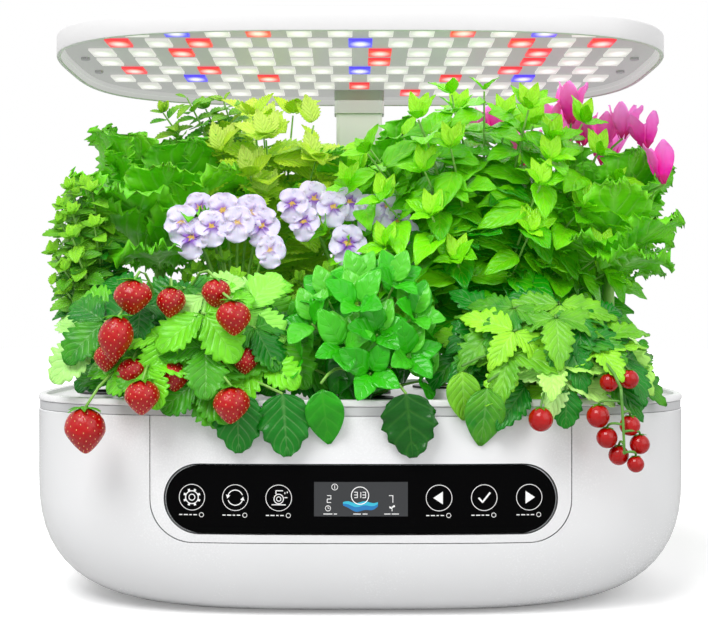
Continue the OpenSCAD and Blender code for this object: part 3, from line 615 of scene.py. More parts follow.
@dataclass
class Piece:
    """One finished piece: its name, the body it rides on, its slot, which nothing reads, and the nodes it
    stands for.
    """

    name: str
    body: Body
    slot: str
    nodes: tuple[str, ...] = ()

    def finish(self, mesh: bpy.types.Mesh, *finishes: Finish, smooth: bool = True) -> bpy.types.Object:
        """Puts a mesh into the scene as this piece.

        Args:
            mesh: the mesh, in metres, in place.
            finishes: the finishes of its material indices, in order.
            smooth: whether its faces are shaded smooth, apart from sharp edges.

        Returns:
            The object.
        """
        for finish in finishes:
            mesh.materials.append(Palette.of(finish))
        if smooth:
            mesh.shade_smooth()
            mesh.set_sharp_from_angle(angle=math.radians(35))
        mesh.name = self.name
        obj = bpy.data.objects.new(self.name, mesh)
        bpy.context.scene.collection.objects.link(obj)
        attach(obj, self.body.value)
        if self.nodes:
            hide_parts(*self.nodes)
        log.info("%s: %d faces, for %s", self.name, len(mesh.polygons), ", ".join(self.nodes) or "no node")
        return obj


def bake(bm: BMesh, name: str, index: int | None = None) -> bpy.types.Mesh:
    """Turns a bmesh into a mesh as it is, and frees it.

    Args:
        bm: the bmesh.
        name: name of the mesh.
        index: material index of its faces, which are then smooth.

    Returns:
        The mesh.
    """
    if index is not None:
        for face in bm.faces:
            face.material_index, face.smooth = index, True
    mesh = bpy.data.meshes.new(name)
    bm.to_mesh(mesh)
    bm.free()
    return mesh


def to_mesh(bm: BMesh, name: str, recalc: bool = True) -> bpy.types.Mesh:
    """Turns a bmesh in millimetres into a mesh in metres, and frees it.

    Args:
        bm: the bmesh.
        name: name of the mesh.
        recalc: whether its normals are worked out afresh.

    Returns:
        The mesh.
    """
    if recalc:
        bmesh.ops.recalc_face_normals(bm, faces=bm.faces)
    bmesh.ops.scale(bm, vec=(MM, MM, MM), verts=bm.verts)
    return bake(bm, name)


@dataclass(frozen=True)
class Oval:
    """The rounded oval outline of the base and the lamp: a superellipse."""

    half_x: float
    half_y: float
    power: float = 3.3
    steps: int = 144

    def ring(self, z: float, inset: float = 0.0, inset_y: float | None = None) -> list[Vector]:
        """Points of the outline.

        Args:
            z: their height.
            inset: how far the outline is drawn in.
            inset_y: how far it is drawn in along Y, where that differs.

        Returns:
            The points, counter-clockwise from above.
        """
        a = self.half_x - inset
        b = self.half_y - (inset if inset_y is None else inset_y)
        points = []
        for i in range(self.steps):
            t = 2 * math.pi * i / self.steps
            c, s = math.cos(t), math.sin(t)
            points.append(Vector((a * math.copysign(abs(c) ** (2 / self.power), c),
                                  b * math.copysign(abs(s) ** (2 / self.power), s), z)))
        return points


def skin(rings: Sequence[Sequence[Vector]]) -> BMesh:
    """Skins a stack of rings of the same number of points, with a cap on each end.

    Args:
        rings: the rings, each a closed list of points.

    Returns:
        The skin as a new bmesh.
    """
    bm = bmesh.new()
    verts = bmesh.ops.create_circle(bm, segments=len(rings[0]), radius=1, cap_ends=False)["verts"]
    for vert, point in zip(verts, rings[0]):
        vert.co = point
    edges = list({edge for vert in verts for edge in vert.link_edges})
    bmesh.ops.contextual_create(bm, geom=edges)
    order = {vert: i for i, vert in enumerate(verts)}
    for ring in rings[1:]:
        new = bmesh.ops.extrude_edge_only(bm, edges=edges)["geom"]
        edges = [item for item in new if isinstance(item, bmesh.types.BMEdge)]
        following = {}
        for vert in (item for item in new if isinstance(item, bmesh.types.BMVert)):
            for edge in vert.link_edges:
                other = edge.other_vert(vert)
                if other in order:
                    following[vert] = order[other]
        for vert, i in following.items():
            vert.co = ring[i]
        order = following
    bmesh.ops.contextual_create(bm, geom=edges)
    return bm


def cut(mesh: bpy.types.Mesh, tool: bpy.types.Mesh, operation: str) -> bpy.types.Mesh:
    """Cuts one mesh with another, exactly.

    Args:
        mesh: the mesh that is cut.
        tool: the mesh that cuts it.
        operation: DIFFERENCE or INTERSECT.

    Returns:
        The new mesh; the two given ones are removed.
    """
    obj = bpy.data.objects.new("to_cut", mesh)
    cutter = bpy.data.objects.new("cutter", tool)
    for item in (obj, cutter):
        bpy.context.scene.collection.objects.link(item)
    step = obj.modifiers.new("cut", "BOOLEAN")
    step.operation, step.solver, step.object = operation, "EXACT", cutter
    result = bpy.data.meshes.new_from_object(obj.evaluated_get(bpy.context.evaluated_depsgraph_get()))
    for item in (obj, cutter):
        bpy.data.objects.remove(item)
    for old in (mesh, tool):
        bpy.data.meshes.remove(old)
    return result


def half_sizes(node: str) -> Span:
    """Half the width and depth of a CAD node, in millimetres."""
    low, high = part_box(node)
    return (high.x - low.x) / 2 / MM, (high.y - low.y) / 2 / MM


def turn_to(direction: Vector, up: Vector) -> Matrix:
    """A turn that takes +Y to a direction and +Z towards up.

    Args:
        direction: where +Y goes.
        up: where +Z leans.

    Returns:
        The turn, as a 4 by 4 matrix.
    """
    ahead = direction.normalized()
    side = ahead.cross(up)
    if side.length < 1e-4:
        side = ahead.cross(Vector((1.0, 0.1, 0.0)))
    side.normalize()
    above = side.cross(ahead)
    return Matrix((side, ahead, above)).transposed().to_4x4()


def round_path(corners: Sequence[Vector], steps: int = 6) -> list[Vector]:
    """A smooth path through a start, a bend and an end.

    Args:
        corners: three points, of which the middle one only pulls.
        steps: number of stretches.

    Returns:
        The points of the path.
    """
    a, b, c = corners
    return [(1 - t) ** 2 * a + 2 * t * (1 - t) * b + t * t * c for t in (i / steps for i in range(steps + 1))]


# ------------------------------------------------------------------ base


@dataclass
class TankBase:
    """The rounded tub, its front cover with the upright seams, the grey rim and the deck."""

    round_h: float = 80.0
    round_side: float = 90.0
    round_front: float = 40.0
    foot_power: float = 2.6
    wall: float = 3.0
    band_z: float = 120.5
    lip_z: float = 126.0
    top_z: float = 130.0
    seam_x: float = 124.0
    seam_z: float = 46.0
    seam_r: float = 25.0
    seam_gap: float = 0.55
    bend_steps: int = 16
    end_steps: int = 24
    front_cut: Span = (-140.0, -95.0)
    panel_play: float = 1.4
    inlet: Place = (62.0, 122.0, 60.0)
    inlet_r: float = 6.2
    tank_outside: tuple[Place, ...] = ((12, 50, 26), (38, 20, 10))
    tank_inside: tuple[Place, ...] = ((39, 22, 12), (14, 52, 28))
    tank_front: float = -94.0
    tank_back: float = 106.0
    post_bay: Span = (50.0, 84.0)
    pod_r: float = 17.8
    fill_port: tuple[float, float, float, float] = (105, 93, 28, 20)
    post_hole: tuple[float, float, float, float] = (0, 101, 47.6, 28.6)
    drill: float = 30.0
    ear_xs: Span = (95, 115)
    ear: Place = (4, 5.2, 4)
    hinge_y: float = 109.0
    hinge_z: float = 131.0
    hinge_r: float = 2.6

    def tub_rings(self) -> list[list[Vector]]:
        """The rings of the tub, from its flat bottom over its rim to its floor inside.

        Returns:
            The rings.
        """
        oval = Oval(*half_sizes("base_shell"))
        rings = []
        steps = 14
        for lift, stops in ((0.0, range(0, steps + 1)), (self.wall, range(steps, -1, -1))):
            level = [self.foot(i / steps, lift, oval) for i in stops]
            if lift:
                rings.append(oval.ring(self.band_z - 0.4, 0.0))
                rings.append(oval.ring(self.band_z, 0.4))
                rings.append(oval.ring(self.band_z, lift))
            rings.extend(level)
        return rings

    def foot(self, share: float, lift: float, oval: Oval) -> list[Vector]:
        """One ring of the rounded foot.

        Args:
            share: 0 at the table and 1 on the upright side.
            lift: how far it lies inside the outer face.
            oval: the outline of the base.

        Returns:
            The ring.
        """
        angle = share * math.pi / 2
        power = 2 / self.foot_power
        drawn = 1 - math.sin(angle) ** power
        z = self.round_h * (1 - math.cos(angle) ** power)
        inset_x, inset_y = (reach * drawn + lift for reach in (self.round_side, self.round_front))
        return oval.ring(z + lift * (1 - share), inset_x, inset_y)

    def seam_prism(self, gap: float) -> bpy.types.Mesh:
        """The block inside the U-shaped seam of the front cover.

        Args:
            gap: how far it is drawn in.

        Returns:
            The block as a mesh.
        """
        half, low, r = self.seam_x - gap, self.seam_z + gap, self.seam_r
        outline = [(half, self.band_z + 5), (-half, self.band_z + 5)]
        for cx, turn in ((-half + r, math.pi), (half - r, 1.5 * math.pi)):
            for i in range(self.bend_steps + 1):
                t = turn + i / self.bend_steps * math.pi / 2
                outline.append((cx + r * math.cos(t), low + r + r * math.sin(t)))
        return to_mesh(skin([[Vector((x, y, z)) for x, z in outline] for y in self.front_cut]), "seam_block")

    def panel_hole(self) -> bpy.types.Mesh:
        """The pill-shaped block that opens the cover for the panel.

        Returns:
            The block as a mesh.
        """
        length, height = TouchPanel.length + self.panel_play, TouchPanel.height + self.panel_play
        r, outline = height / 2, []
        for cx, turn in ((-length / 2 + r, math.pi / 2), (length / 2 - r, 1.5 * math.pi)):
            for i in range(self.end_steps + 1):
                t = turn + i / self.end_steps * math.pi
                outline.append((cx + r * math.cos(t), TouchPanel.z + r * math.sin(t)))
        return to_mesh(skin([[Vector((x, y, z)) for x, z in outline] for y in self.front_cut]), "hole")

    def build(self) -> None:
        """Builds the tub, the cover, the rim and the deck."""
        tub = cut(to_mesh(skin(self.tub_rings()), "tub"), self.seam_prism(0.0), "DIFFERENCE")
        inlet = bmesh.new()
        across = Matrix.Translation(self.inlet) @ Matrix.Rotation(math.pi / 2, 4, "X")
        bmesh.ops.create_cone(inlet, cap_ends=True, segments=40, radius1=self.inlet_r, radius2=self.inlet_r,
                              depth=self.drill, matrix=across)
        tub = cut(tub, to_mesh(inlet, "inlet"), "DIFFERENCE")
        Piece("tub", Body.BASE, "white_shell", ("base_shell",)).finish(tub, WHITE_SHELL)
        cover = cut(to_mesh(skin(self.tub_rings()), "cover"), self.seam_prism(self.seam_gap), "INTERSECT")
        cover = cut(cover, self.panel_hole(), "DIFFERENCE")
        Piece("front_cover", Body.BASE, "white_shell", ("front_fascia",)).finish(cover, WHITE_SHELL)
        self.rim()
        self.deck()

    def rim(self) -> None:
        """Builds the grey rim of the tank, which shows below the deck, and the tank under it."""
        oval = Oval(*half_sizes("grow_deck"))
        low, high = self.band_z + 0.3, self.lip_z - 0.3
        shoulder = self.band_z + 2
        rings = [
            *(oval.ring(*level) for level in self.tank_outside), oval.ring(low, 8), oval.ring(low, 0.7),
            oval.ring(high, 0.7), oval.ring(high, 5), oval.ring(shoulder, 5), oval.ring(shoulder, 10),
            *(oval.ring(*level) for level in self.tank_inside),
        ]
        bay_x, bay_y = self.post_bay
        for point in (point for ring in rings for point in ring if point.z < self.band_z):
            back = bay_y if abs(point.x) < bay_x else self.tank_back
            point.y = max(self.tank_front, min(point.y, back))
        mesh = to_mesh(skin(rings), "tank")
        Piece("tank", Body.BASE, "grey_rim", ("water_tank",)).finish(mesh, RIM_GREY)

    def deck(self) -> None:
        """Builds the grow deck: a plate with a raised lip, pod holes, a fill port and a post hole."""
        oval = Oval(*half_sizes("grow_deck"))
        rings = [
            oval.ring(self.lip_z - 1.5, 4), oval.ring(self.lip_z, 4), oval.ring(self.lip_z, 0.5),
            oval.ring(self.lip_z + 0.5, 0.0), oval.ring(self.top_z - 1.2, 0.0),
            oval.ring(self.top_z - 0.4, 0.35), oval.ring(self.top_z, 1.2), oval.ring(self.top_z, 3.8),
            oval.ring(self.top_z - 0.5, 4.7), oval.ring(self.lip_z + 1.4, 5.2),
            oval.ring(self.lip_z + 1, 6.0),
        ]
        holes = bmesh.new()
        for x, y in Plant.pods:
            bmesh.ops.create_cone(holes, cap_ends=True, segments=40, radius1=self.pod_r, radius2=self.pod_r,
                                  depth=self.drill, matrix=Matrix.Translation((x, y, self.lip_z)))
        for x, y, width, depth in (self.fill_port, self.post_hole):
            block = Matrix.Translation((x, y, self.lip_z)) @ Matrix.Diagonal((width, depth, self.drill, 1))
            bmesh.ops.create_cube(holes, size=1, matrix=block)
        plate = cut(to_mesh(skin(rings), "plate"), to_mesh(holes, "holes"), "DIFFERENCE")
        bm = bmesh.new()
        bm.from_mesh(plate)
        bpy.data.meshes.remove(plate)
        bmesh.ops.scale(bm, vec=(1 / MM, 1 / MM, 1 / MM), verts=bm.verts)
        across = Matrix.Rotation(math.pi / 2, 4, "Y")
        for x in self.ear_xs:
            post = Matrix.Translation((x, self.hinge_y, self.hinge_z - self.ear[2] / 2))
            bmesh.ops.create_cube(bm, size=1, matrix=post @ Matrix.Diagonal((*self.ear, 1)))
            knuckle = Matrix.Translation((x, self.hinge_y, self.hinge_z)) @ across
            bmesh.ops.create_cone(bm, cap_ends=True, segments=24, radius1=self.hinge_r, radius2=self.hinge_r,
                                  depth=self.ear[0], matrix=knuckle)
        mesh = to_mesh(bm, "deck", recalc=False)
        Piece("deck", Body.BASE, "white_deck", ("grow_deck",)).finish(mesh, DECK_WHITE)


@dataclass
class TouchPanel:
    """The black glass pill with its keys, its screen and the marks printed on them."""

    length: float = 229.6
    height: float = 40.2
    z: float = 72.0
    front_y: float = -123.2
    arc_r: float = 1205.0
    thick: float = 2.2
    bevel: float = 0.7
    key_xs: tuple[float, ...] = (-98.7, -73.2, -47.8, 45.5, 71.9, 98.4)
    key_z: float = 72.9
    key_r: float = 7.7
    caption_z: float = 62.7
    captions: tuple[Span, ...] = ((-7.4, 1.6), (-4.7, 2.2), (-1.4, 1.2), (1.0, 1.8))
    screen_x: float = -27.2
    screen_length: float = 54.5
    screen_zs: Span = (62.3, 82.3)
    screen_strips: int = 14
    legend_z: float = 63.7
    legends: tuple[Span, ...] = ((-19.2, 5.0), (-14.8, 1.6), (-2.2, 4.2), (2.4, 2.6), (15.4, 3.4),
                                                (20.0, 4.0))
    figures: tuple[tuple[str, float, float, float], ...] = (
        ("3", -2.9, 74.8, 3.2), ("1", -0.9, 74.8, 3.2), ("3", 1.9, 74.8, 3.2), ("2", -18.5, 72.4, 4.0),
        ("7", 17.5, 72.4, 4.0))
    wave_x: float = -10.4
    wave_length: float = 20.3
    wave_z: float = 70.6
    wave_strips: int = 20

    def front(self, x: float) -> float:
        """The depth of the curved front at x."""
        return self.front_y + x * x / (2 * self.arc_r)

    def wrap(self, bm: BMesh, proud: float) -> None:
        """Bends flat work, drawn in X and Z with its thickness in Y, round the curved front.

        Args:
            bm: the flat work.
            proud: how far it stands out of the front.
        """
        for vert in bm.verts:
            vert.co.y += self.front(vert.co.x) - proud

    def glass(self) -> None:
        """Builds the pane with a bevelled edge."""
        bm = bmesh.new()
        bmesh.ops.create_grid(bm, x_segments=96, y_segments=24, size=1)
        r = self.height / 2
        for vert in bm.verts:
            height = r * math.sin(vert.co.y * math.pi / 2)
            reach = self.length / 2 - r + math.sqrt(max(0.0, r * r - height * height))
            vert.co = Vector((vert.co.x * reach, 0.0, self.z + height))
        bmesh.ops.remove_doubles(bm, verts=bm.verts, dist=0.001)
        back = bmesh.ops.extrude_face_region(bm, geom=bm.faces)["geom"]
        bmesh.ops.translate(bm, vec=(0, self.thick, 0),
                            verts=[v for v in back if isinstance(v, bmesh.types.BMVert)])
        self.wrap(bm, 0.0)
        bmesh.ops.recalc_face_normals(bm, faces=bm.faces)
        bm.normal_update()
        rim = [edge for edge in bm.edges if edge.calc_face_angle(0) > 1.0
               and all(vert.co.y < self.front(vert.co.x) + 0.1 for vert in edge.verts)]
        bmesh.ops.bevel(bm, geom=rim, offset=self.bevel, segments=2, profile=0.5, affect="EDGES", material=1)
        piece = Piece("panel_glass", Body.BASE, "panel_black", ("control_panel",))
        piece.finish(to_mesh(bm, "glass"), PANEL_BLACK, PANEL_EDGE)

    def build(self) -> None:
        """Builds the pane, the screen and the marks."""
        self.glass()
        self.screen()
        self.keys()

    def slab(self, bm: BMesh, outline: Sequence[Span], proud: float = 0.12) -> None:
        """Adds a thin flat shape that stands on the glass.

        Args:
            bm: what it is added to.
            outline: its corners in X and Z.
            proud: how far it stands out.
        """
        mesh = bake(skin([[Vector((x, y, z)) for x, z in outline] for y in (-proud, 0.05)]), "slab")
        bm.from_mesh(mesh)
        bpy.data.meshes.remove(mesh)

    def arc(self, bm: BMesh, x: float, z: float, r: float, width: float, turns: Span = (0, 360)) -> None:
        """Adds a round line.

        Args:
            bm: what it is added to.
            x: its middle in X.
            z: its middle in Z.
            r: its outer radius.
            width: its width.
            turns: where it starts and ends, in degrees.
        """
        count = max(4, round((turns[1] - turns[0]) / 9))
        ways = [math.radians(turns[0] + (turns[1] - turns[0]) * i / count) for i in range(count + 1)]
        for a, b in zip(ways, ways[1:]):
            corners = ((r, a), (r, b), (r - width, b), (r - width, a))
            self.slab(bm, [(x + k * math.cos(t), z + k * math.sin(t)) for k, t in corners])

    def stroke(self, bm: BMesh, start: Span, end: Span, width: float) -> None:
        """Adds a straight line.

        Args:
            bm: what it is added to.
            start: where it starts, in X and Z.
            end: where it ends.
            width: its width.
        """
        along = Vector((end[0] - start[0], end[1] - start[1])).normalized() * width / 2
        across = Vector((-along.y, along.x))
        a, b = Vector(start) - along * 0.4, Vector(end) + along * 0.4
        self.slab(bm, [tuple(a + across), tuple(a - across), tuple(b - across), tuple(b + across)])

    def digit(self, bm: BMesh, figure: str, x: float, z: float, height: float, width: float = 0.42) -> None:
        """Adds a figure made of the seven strokes of a plain display.

        Args:
            bm: what it is added to.
            figure: the figure.
            x: its middle in X.
            z: its middle in Z.
            height: its height.
            width: width of a stroke.
        """
        w, h = height * 0.27, height / 2
        ends = {"a": (-w, h, w, h), "b": (w, 0, w, h), "c": (w, -h, w, 0), "d": (-w, -h, w, -h),
                "e": (-w, -h, -w, 0), "f": (-w, 0, -w, h), "g": (-w, 0, w, 0)}
        for name in {"1": "bc", "2": "abged", "3": "abgcd", "7": "abc"}[figure]:
            x0, z0, x1, z1 = ends[name]
            self.stroke(bm, (x + x0, z + z0), (x + x1, z + z1), width)

    def put(self, bm: BMesh, name: str, slot: str, finish: Finish, proud: float = 0.0) -> None:
        """Wraps flat work on the glass and makes it a piece.

        Args:
            bm: the flat work.
            name: name of the piece.
            slot: its slot.
            finish: its finish.
            proud: how far it stands out.
        """
        self.wrap(bm, proud)
        Piece(name, Body.BASE, slot).finish(to_mesh(bm, name), finish)

    def screen(self) -> None:
        """Builds the dark display window with its figures and its wave."""
        pane = bmesh.new()
        low, high = self.screen_zs
        step = self.screen_length / self.screen_strips
        for i in range(self.screen_strips):
            x = self.screen_x + step * i
            self.slab(pane, [(x, low), (x + step, low), (x + step, high), (x, high)], 0.03)
        self.put(pane, "screen_window", "screen", SCREEN_GREY)
        lit = bmesh.new()
        self.arc(lit, -0.5, 74.4, 5.3, 0.5)
        for figure in self.figures:
            self.digit(lit, *figure)
        self.arc(lit, -15.2, 79.4, 1.9, 0.35)
        self.stroke(lit, (-15.2, 78.4), (-15.2, 80.4), 0.35)
        self.arc(lit, -19.1, 67.0, 1.7, 0.35)
        self.stroke(lit, (-19.1, 67.0), (-19.1, 68.1), 0.3)
        self.stroke(lit, (-19.1, 67.0), (-18.3, 67.0), 0.3)
        self.stroke(lit, (18.1, 65.4), (18.1, 68.0), 0.4)
        self.slab(lit, [(18.1, 67.2), (19.9, 67.9), (19.6, 68.9), (18.5, 68.5)])
        self.slab(lit, [(18.1, 66.6), (17.6, 67.9), (16.5, 68.1), (16.6, 67.1)])
        for x, length in self.legends:
            self.stroke(lit, (x - length / 2, self.legend_z), (x + length / 2, self.legend_z), 0.5)
        self.put(lit, "screen_figures", "screen", MARK_WHITE, 0.03)
        self.wave("screen_wave", SCREEN_CYAN, 0.0, 2.4)
        self.wave("screen_deep", SCREEN_BLUE, 2.4, 5.2)

    def wave(self, name: str, finish: Finish, high: float, low: float) -> None:
        """Builds one layer of the wave on the screen.

        Args:
            name: name of the piece.
            finish: its finish.
            high: how far its top lies below the crest, at its middle.
            low: how far its foot lies below the crest, at its middle.
        """
        sea = bmesh.new()
        for i in range(self.wave_strips):
            edges = []
            for x in (self.wave_x + self.wave_length / self.wave_strips * k for k in (i, i + 1)):
                crest = self.wave_z + 0.55 * math.sin((x - self.wave_x) * 0.62)
                bow = (1 - (x / 11.5) ** 2) ** 0.6
                edges.append((x, crest - low * bow, crest - high * bow))
            (x0, z0, top0), (x1, z1, top1) = edges
            self.slab(sea, [(x0, z0), (x1, z1), (x1, top1), (x0, top0)], 0.06)
        self.put(sea, name, "screen", finish, 0.02)

    def keys(self) -> None:
        """Builds the six round touch keys and the short marks below them."""
        bm = bmesh.new()
        z, low = self.key_z, self.caption_z
        for x in self.key_xs:
            self.arc(bm, x, z, self.key_r, 0.34)
            for start, length in self.captions:
                self.stroke(bm, (x + start, low), (x + start + length, low), 0.55)
            self.arc(bm, x + 5.6, low, 1.4, 0.3)
        gear, loop, pump, left, tick, right = self.key_xs
        self.gear_mark(bm, gear)
        self.loop_mark(bm, loop)
        self.pump_mark(bm, pump)
        self.slab(bm, [(left - 3.4, z), (left + 2.2, z - 3.7), (left + 2.2, z + 3.7)])
        self.slab(bm, [(right + 3.4, z), (right - 2.2, z + 3.7), (right - 2.2, z - 3.7)])
        self.stroke(bm, (tick - 3.2, z - 0.2), (tick - 1.0, z - 2.6), 1.0)
        self.stroke(bm, (tick - 1.0, z - 2.6), (tick + 3.4, z + 2.8), 1.0)
        self.put(bm, "key_marks", "panel_black", MARK_WHITE)

    def gear_mark(self, bm: BMesh, gear: float) -> None:
        """Draws the gear of the first key.

        Args:
            bm: what it is added to.
            gear: middle of the key in X.
        """
        z = self.key_z
        self.arc(bm, gear, z, 4.0, 0.55)
        self.arc(bm, gear, z, 2.0, 0.5)
        for k in range(8):
            t = math.radians(45 * k + 22.5)
            root, end = ((gear + r * math.cos(t), z + r * math.sin(t)) for r in (3.8, 4.9))
            self.stroke(bm, root, end, 1.3)

    def loop_mark(self, bm: BMesh, loop: float) -> None:
        """Draws the two round arrows of the second key.

        Args:
            bm: what they are added to.
            loop: middle of the key in X.
        """
        z = self.key_z
        for turn in (20, 200):
            self.arc(bm, loop, z, 4.7, 0.55, (turn, turn + 140))
            t = math.radians(turn + 148)
            tip = Vector((loop + 4.4 * math.cos(t), z + 4.4 * math.sin(t)))
            way = Vector((-math.sin(t), math.cos(t)))
            out = Vector((math.cos(t), math.sin(t)))
            barbs = (tip - out * 1.3 - way * 0.6, tip + out * 1.3 - way * 0.6)
            self.slab(bm, [tuple(point) for point in (tip + way * 1.5, *barbs)])

    def pump_mark(self, bm: BMesh, pump: float) -> None:
        """Draws the pump of the third key.

        Args:
            bm: what it is added to.
            pump: middle of the key in X.
        """
        z = self.key_z
        self.arc(bm, pump, z - 0.6, 3.0, 0.5)
        self.arc(bm, pump, z - 0.6, 1.5, 0.45)
        for x0, z0, x1, z1 in ((-4.0, -4.0, 4.0, -4.0), (-1.6, 2.4, -1.6, 4.2), (-1.6, 4.2, 2.4, 4.2),
                               (3.4, 0.2, 5.0, 0.2), (3.6, 2.4, 3.6, 3.2), (5.0, 2.9, 5.0, 3.6)):
            self.stroke(bm, (pump + x0, z + z0), (pump + x1, z + z1), 0.55)


# ------------------------------------------------------------------ lamp


@dataclass
class LampHead:
    """The oval lamp head: a shell with a stepped rim round a recessed plate of light tiles."""

    low_z: float = 344.7
    top_z: float = 358.5
    ceiling_z: float = 355.5
    plate_z: float = 351.1
    ledge_z: float = 348.3
    wall: float = 2.6
    ledge: float = 5.0
    edge_r: float = 2.4
    edge_steps: int = 6
    glow_size: Span = (0.36, 0.21)
    glow_watts: float = 0.2
    glow_colour: Colour = (1.0, 0.98, 0.95)
    first_row: float = -94.0
    row_pitch: float = 27.5
    tile: Place = (15.0, 19.0, 1.5)
    tile_z: float = 350.45
    pitches: tuple[float, ...] = (24.9, 25.3, 25.8, 25.9, 26.2, 26.2, 26.0, 26.0)
    rows: tuple[str, ...] = ("WBWRWWWWRWBW", "RWRWWWBWWWRWR", "WWRWWWWRWWWRWW", "WWWWWWWRWWWRWW",
                             "RWRWWWBWWWRWW", "WWBWRWWWWRWBWW", "WWWWWWRWWWWWW", "WWWW  RWWW")

    def build(self) -> None:
        """Builds the shell and the light tiles."""
        self.glow(self.shell())
        self.tiles("W", "leds_white", LIGHT_WHITE)
        self.tiles("R", "leds_red", LIGHT_RED)
        self.tiles("B", "leds_blue", LIGHT_BLUE)

    def tiles(self, letter: str, node: str, finish: Finish) -> None:
        """Builds the light tiles of one colour.

        Args:
            letter: their letter in the rows.
            node: the CAD node that they stand for.
            finish: their finish.
        """
        bm = bmesh.new()
        uv = bm.loops.layers.uv.new("UVMap")
        for j, (row, pitch) in enumerate(zip(self.rows, self.pitches)):
            y = self.first_row + self.row_pitch * j
            for x in ((i - (len(row) - 1) / 2) * pitch for i, kind in enumerate(row) if kind == letter):
                block = Matrix.Translation((x, y, self.tile_z)) @ Matrix.Diagonal((*self.tile, 1))
                new = bmesh.ops.create_cube(bm, size=1, matrix=block)["verts"]
                middle = block.translation
                for loop in {loop for vert in new for loop in vert.link_loops}:
                    offset = loop.vert.co - middle
                    loop[uv].uv = (0.5 + offset.x / self.tile[0], 0.5 + offset.y / self.tile[1])
        low = [e for e in bm.edges if all(v.co.z < self.tile_z for v in e.verts)]
        upright = [e for e in bm.edges if abs(e.verts[0].co.z - e.verts[1].co.z) > 1]
        bmesh.ops.bevel(bm, geom=low + upright, offset=0.6, segments=2, profile=0.5, affect="EDGES",
                        material=-1)
        piece = Piece(node + "_tiles", Body.LAMP, node.replace("leds", "led"), (node,))
        piece.finish(to_mesh(bm, node), finish)

    def glow(self, shell: bpy.types.Object) -> None:
        """Adds the light that the tiles throw on the plants.

        Args:
            shell: the lamp's shell, which the light moves with.
        """
        light = bpy.data.objects.new("lamp_glow", bpy.data.lights.new("lamp_glow", "AREA"))
        light.data.shape = "ELLIPSE"
        light.data.size, light.data.size_y = self.glow_size
        light.data.energy, light.data.color = self.glow_watts, self.glow_colour
        light.location = (0, 0, (self.low_z - 1.2) * MM)
        light.visible_camera = False
        bpy.context.scene.collection.objects.link(light)
        light.parent = shell

    def shell(self) -> bpy.types.Object:
        """Builds the shell.

        Returns:
            The shell.
        """
        oval = Oval(*half_sizes("lamp_housing"))
        low, top, w = self.low_z, self.top_z, self.wall
        rings = [
            oval.ring(self.ceiling_z, w + 3), oval.ring(self.ceiling_z - 2, w), oval.ring(self.plate_z, w),
            oval.ring(self.plate_z, self.ledge), oval.ring(self.ledge_z + 0.6, self.ledge),
            oval.ring(self.ledge_z + 0.2, self.ledge - 0.4), oval.ring(self.ledge_z, w + 0.4),
            oval.ring(low + 0.6, w), oval.ring(low, w - 0.5), oval.ring(low, 0.7),
            oval.ring(low + 0.2, 0.2), oval.ring(low + 0.7, 0.0),
        ]
        for i in range(self.edge_steps + 1):
            t = i / self.edge_steps * math.pi / 2
            rings.append(oval.ring(top - self.edge_r * (1 - math.sin(t)), self.edge_r * (1 - math.cos(t))))
        rings.append(oval.ring(top, 8))
        bm = skin(rings)
        bm.normal_update()
        # The inner faces round the recess get the lamp's inner finish, with its painted glow.
        for face in bm.faces:
            spot = face.calc_center_median()
            if low + 0.3 < spot.z < self.ceiling_z and face.normal.xy.dot(spot.xy) < 1.0:
                face.material_index = 1
        piece = Piece("lamp_shell", Body.LAMP, "lamp_white", ("lamp_housing",))
        return piece.finish(to_mesh(bm, "lamp_shell"), LAMP_WHITE, LAMP_INNER_PAINTED_GLOW)


# ------------------------------------------------------------------ leaves and flowers


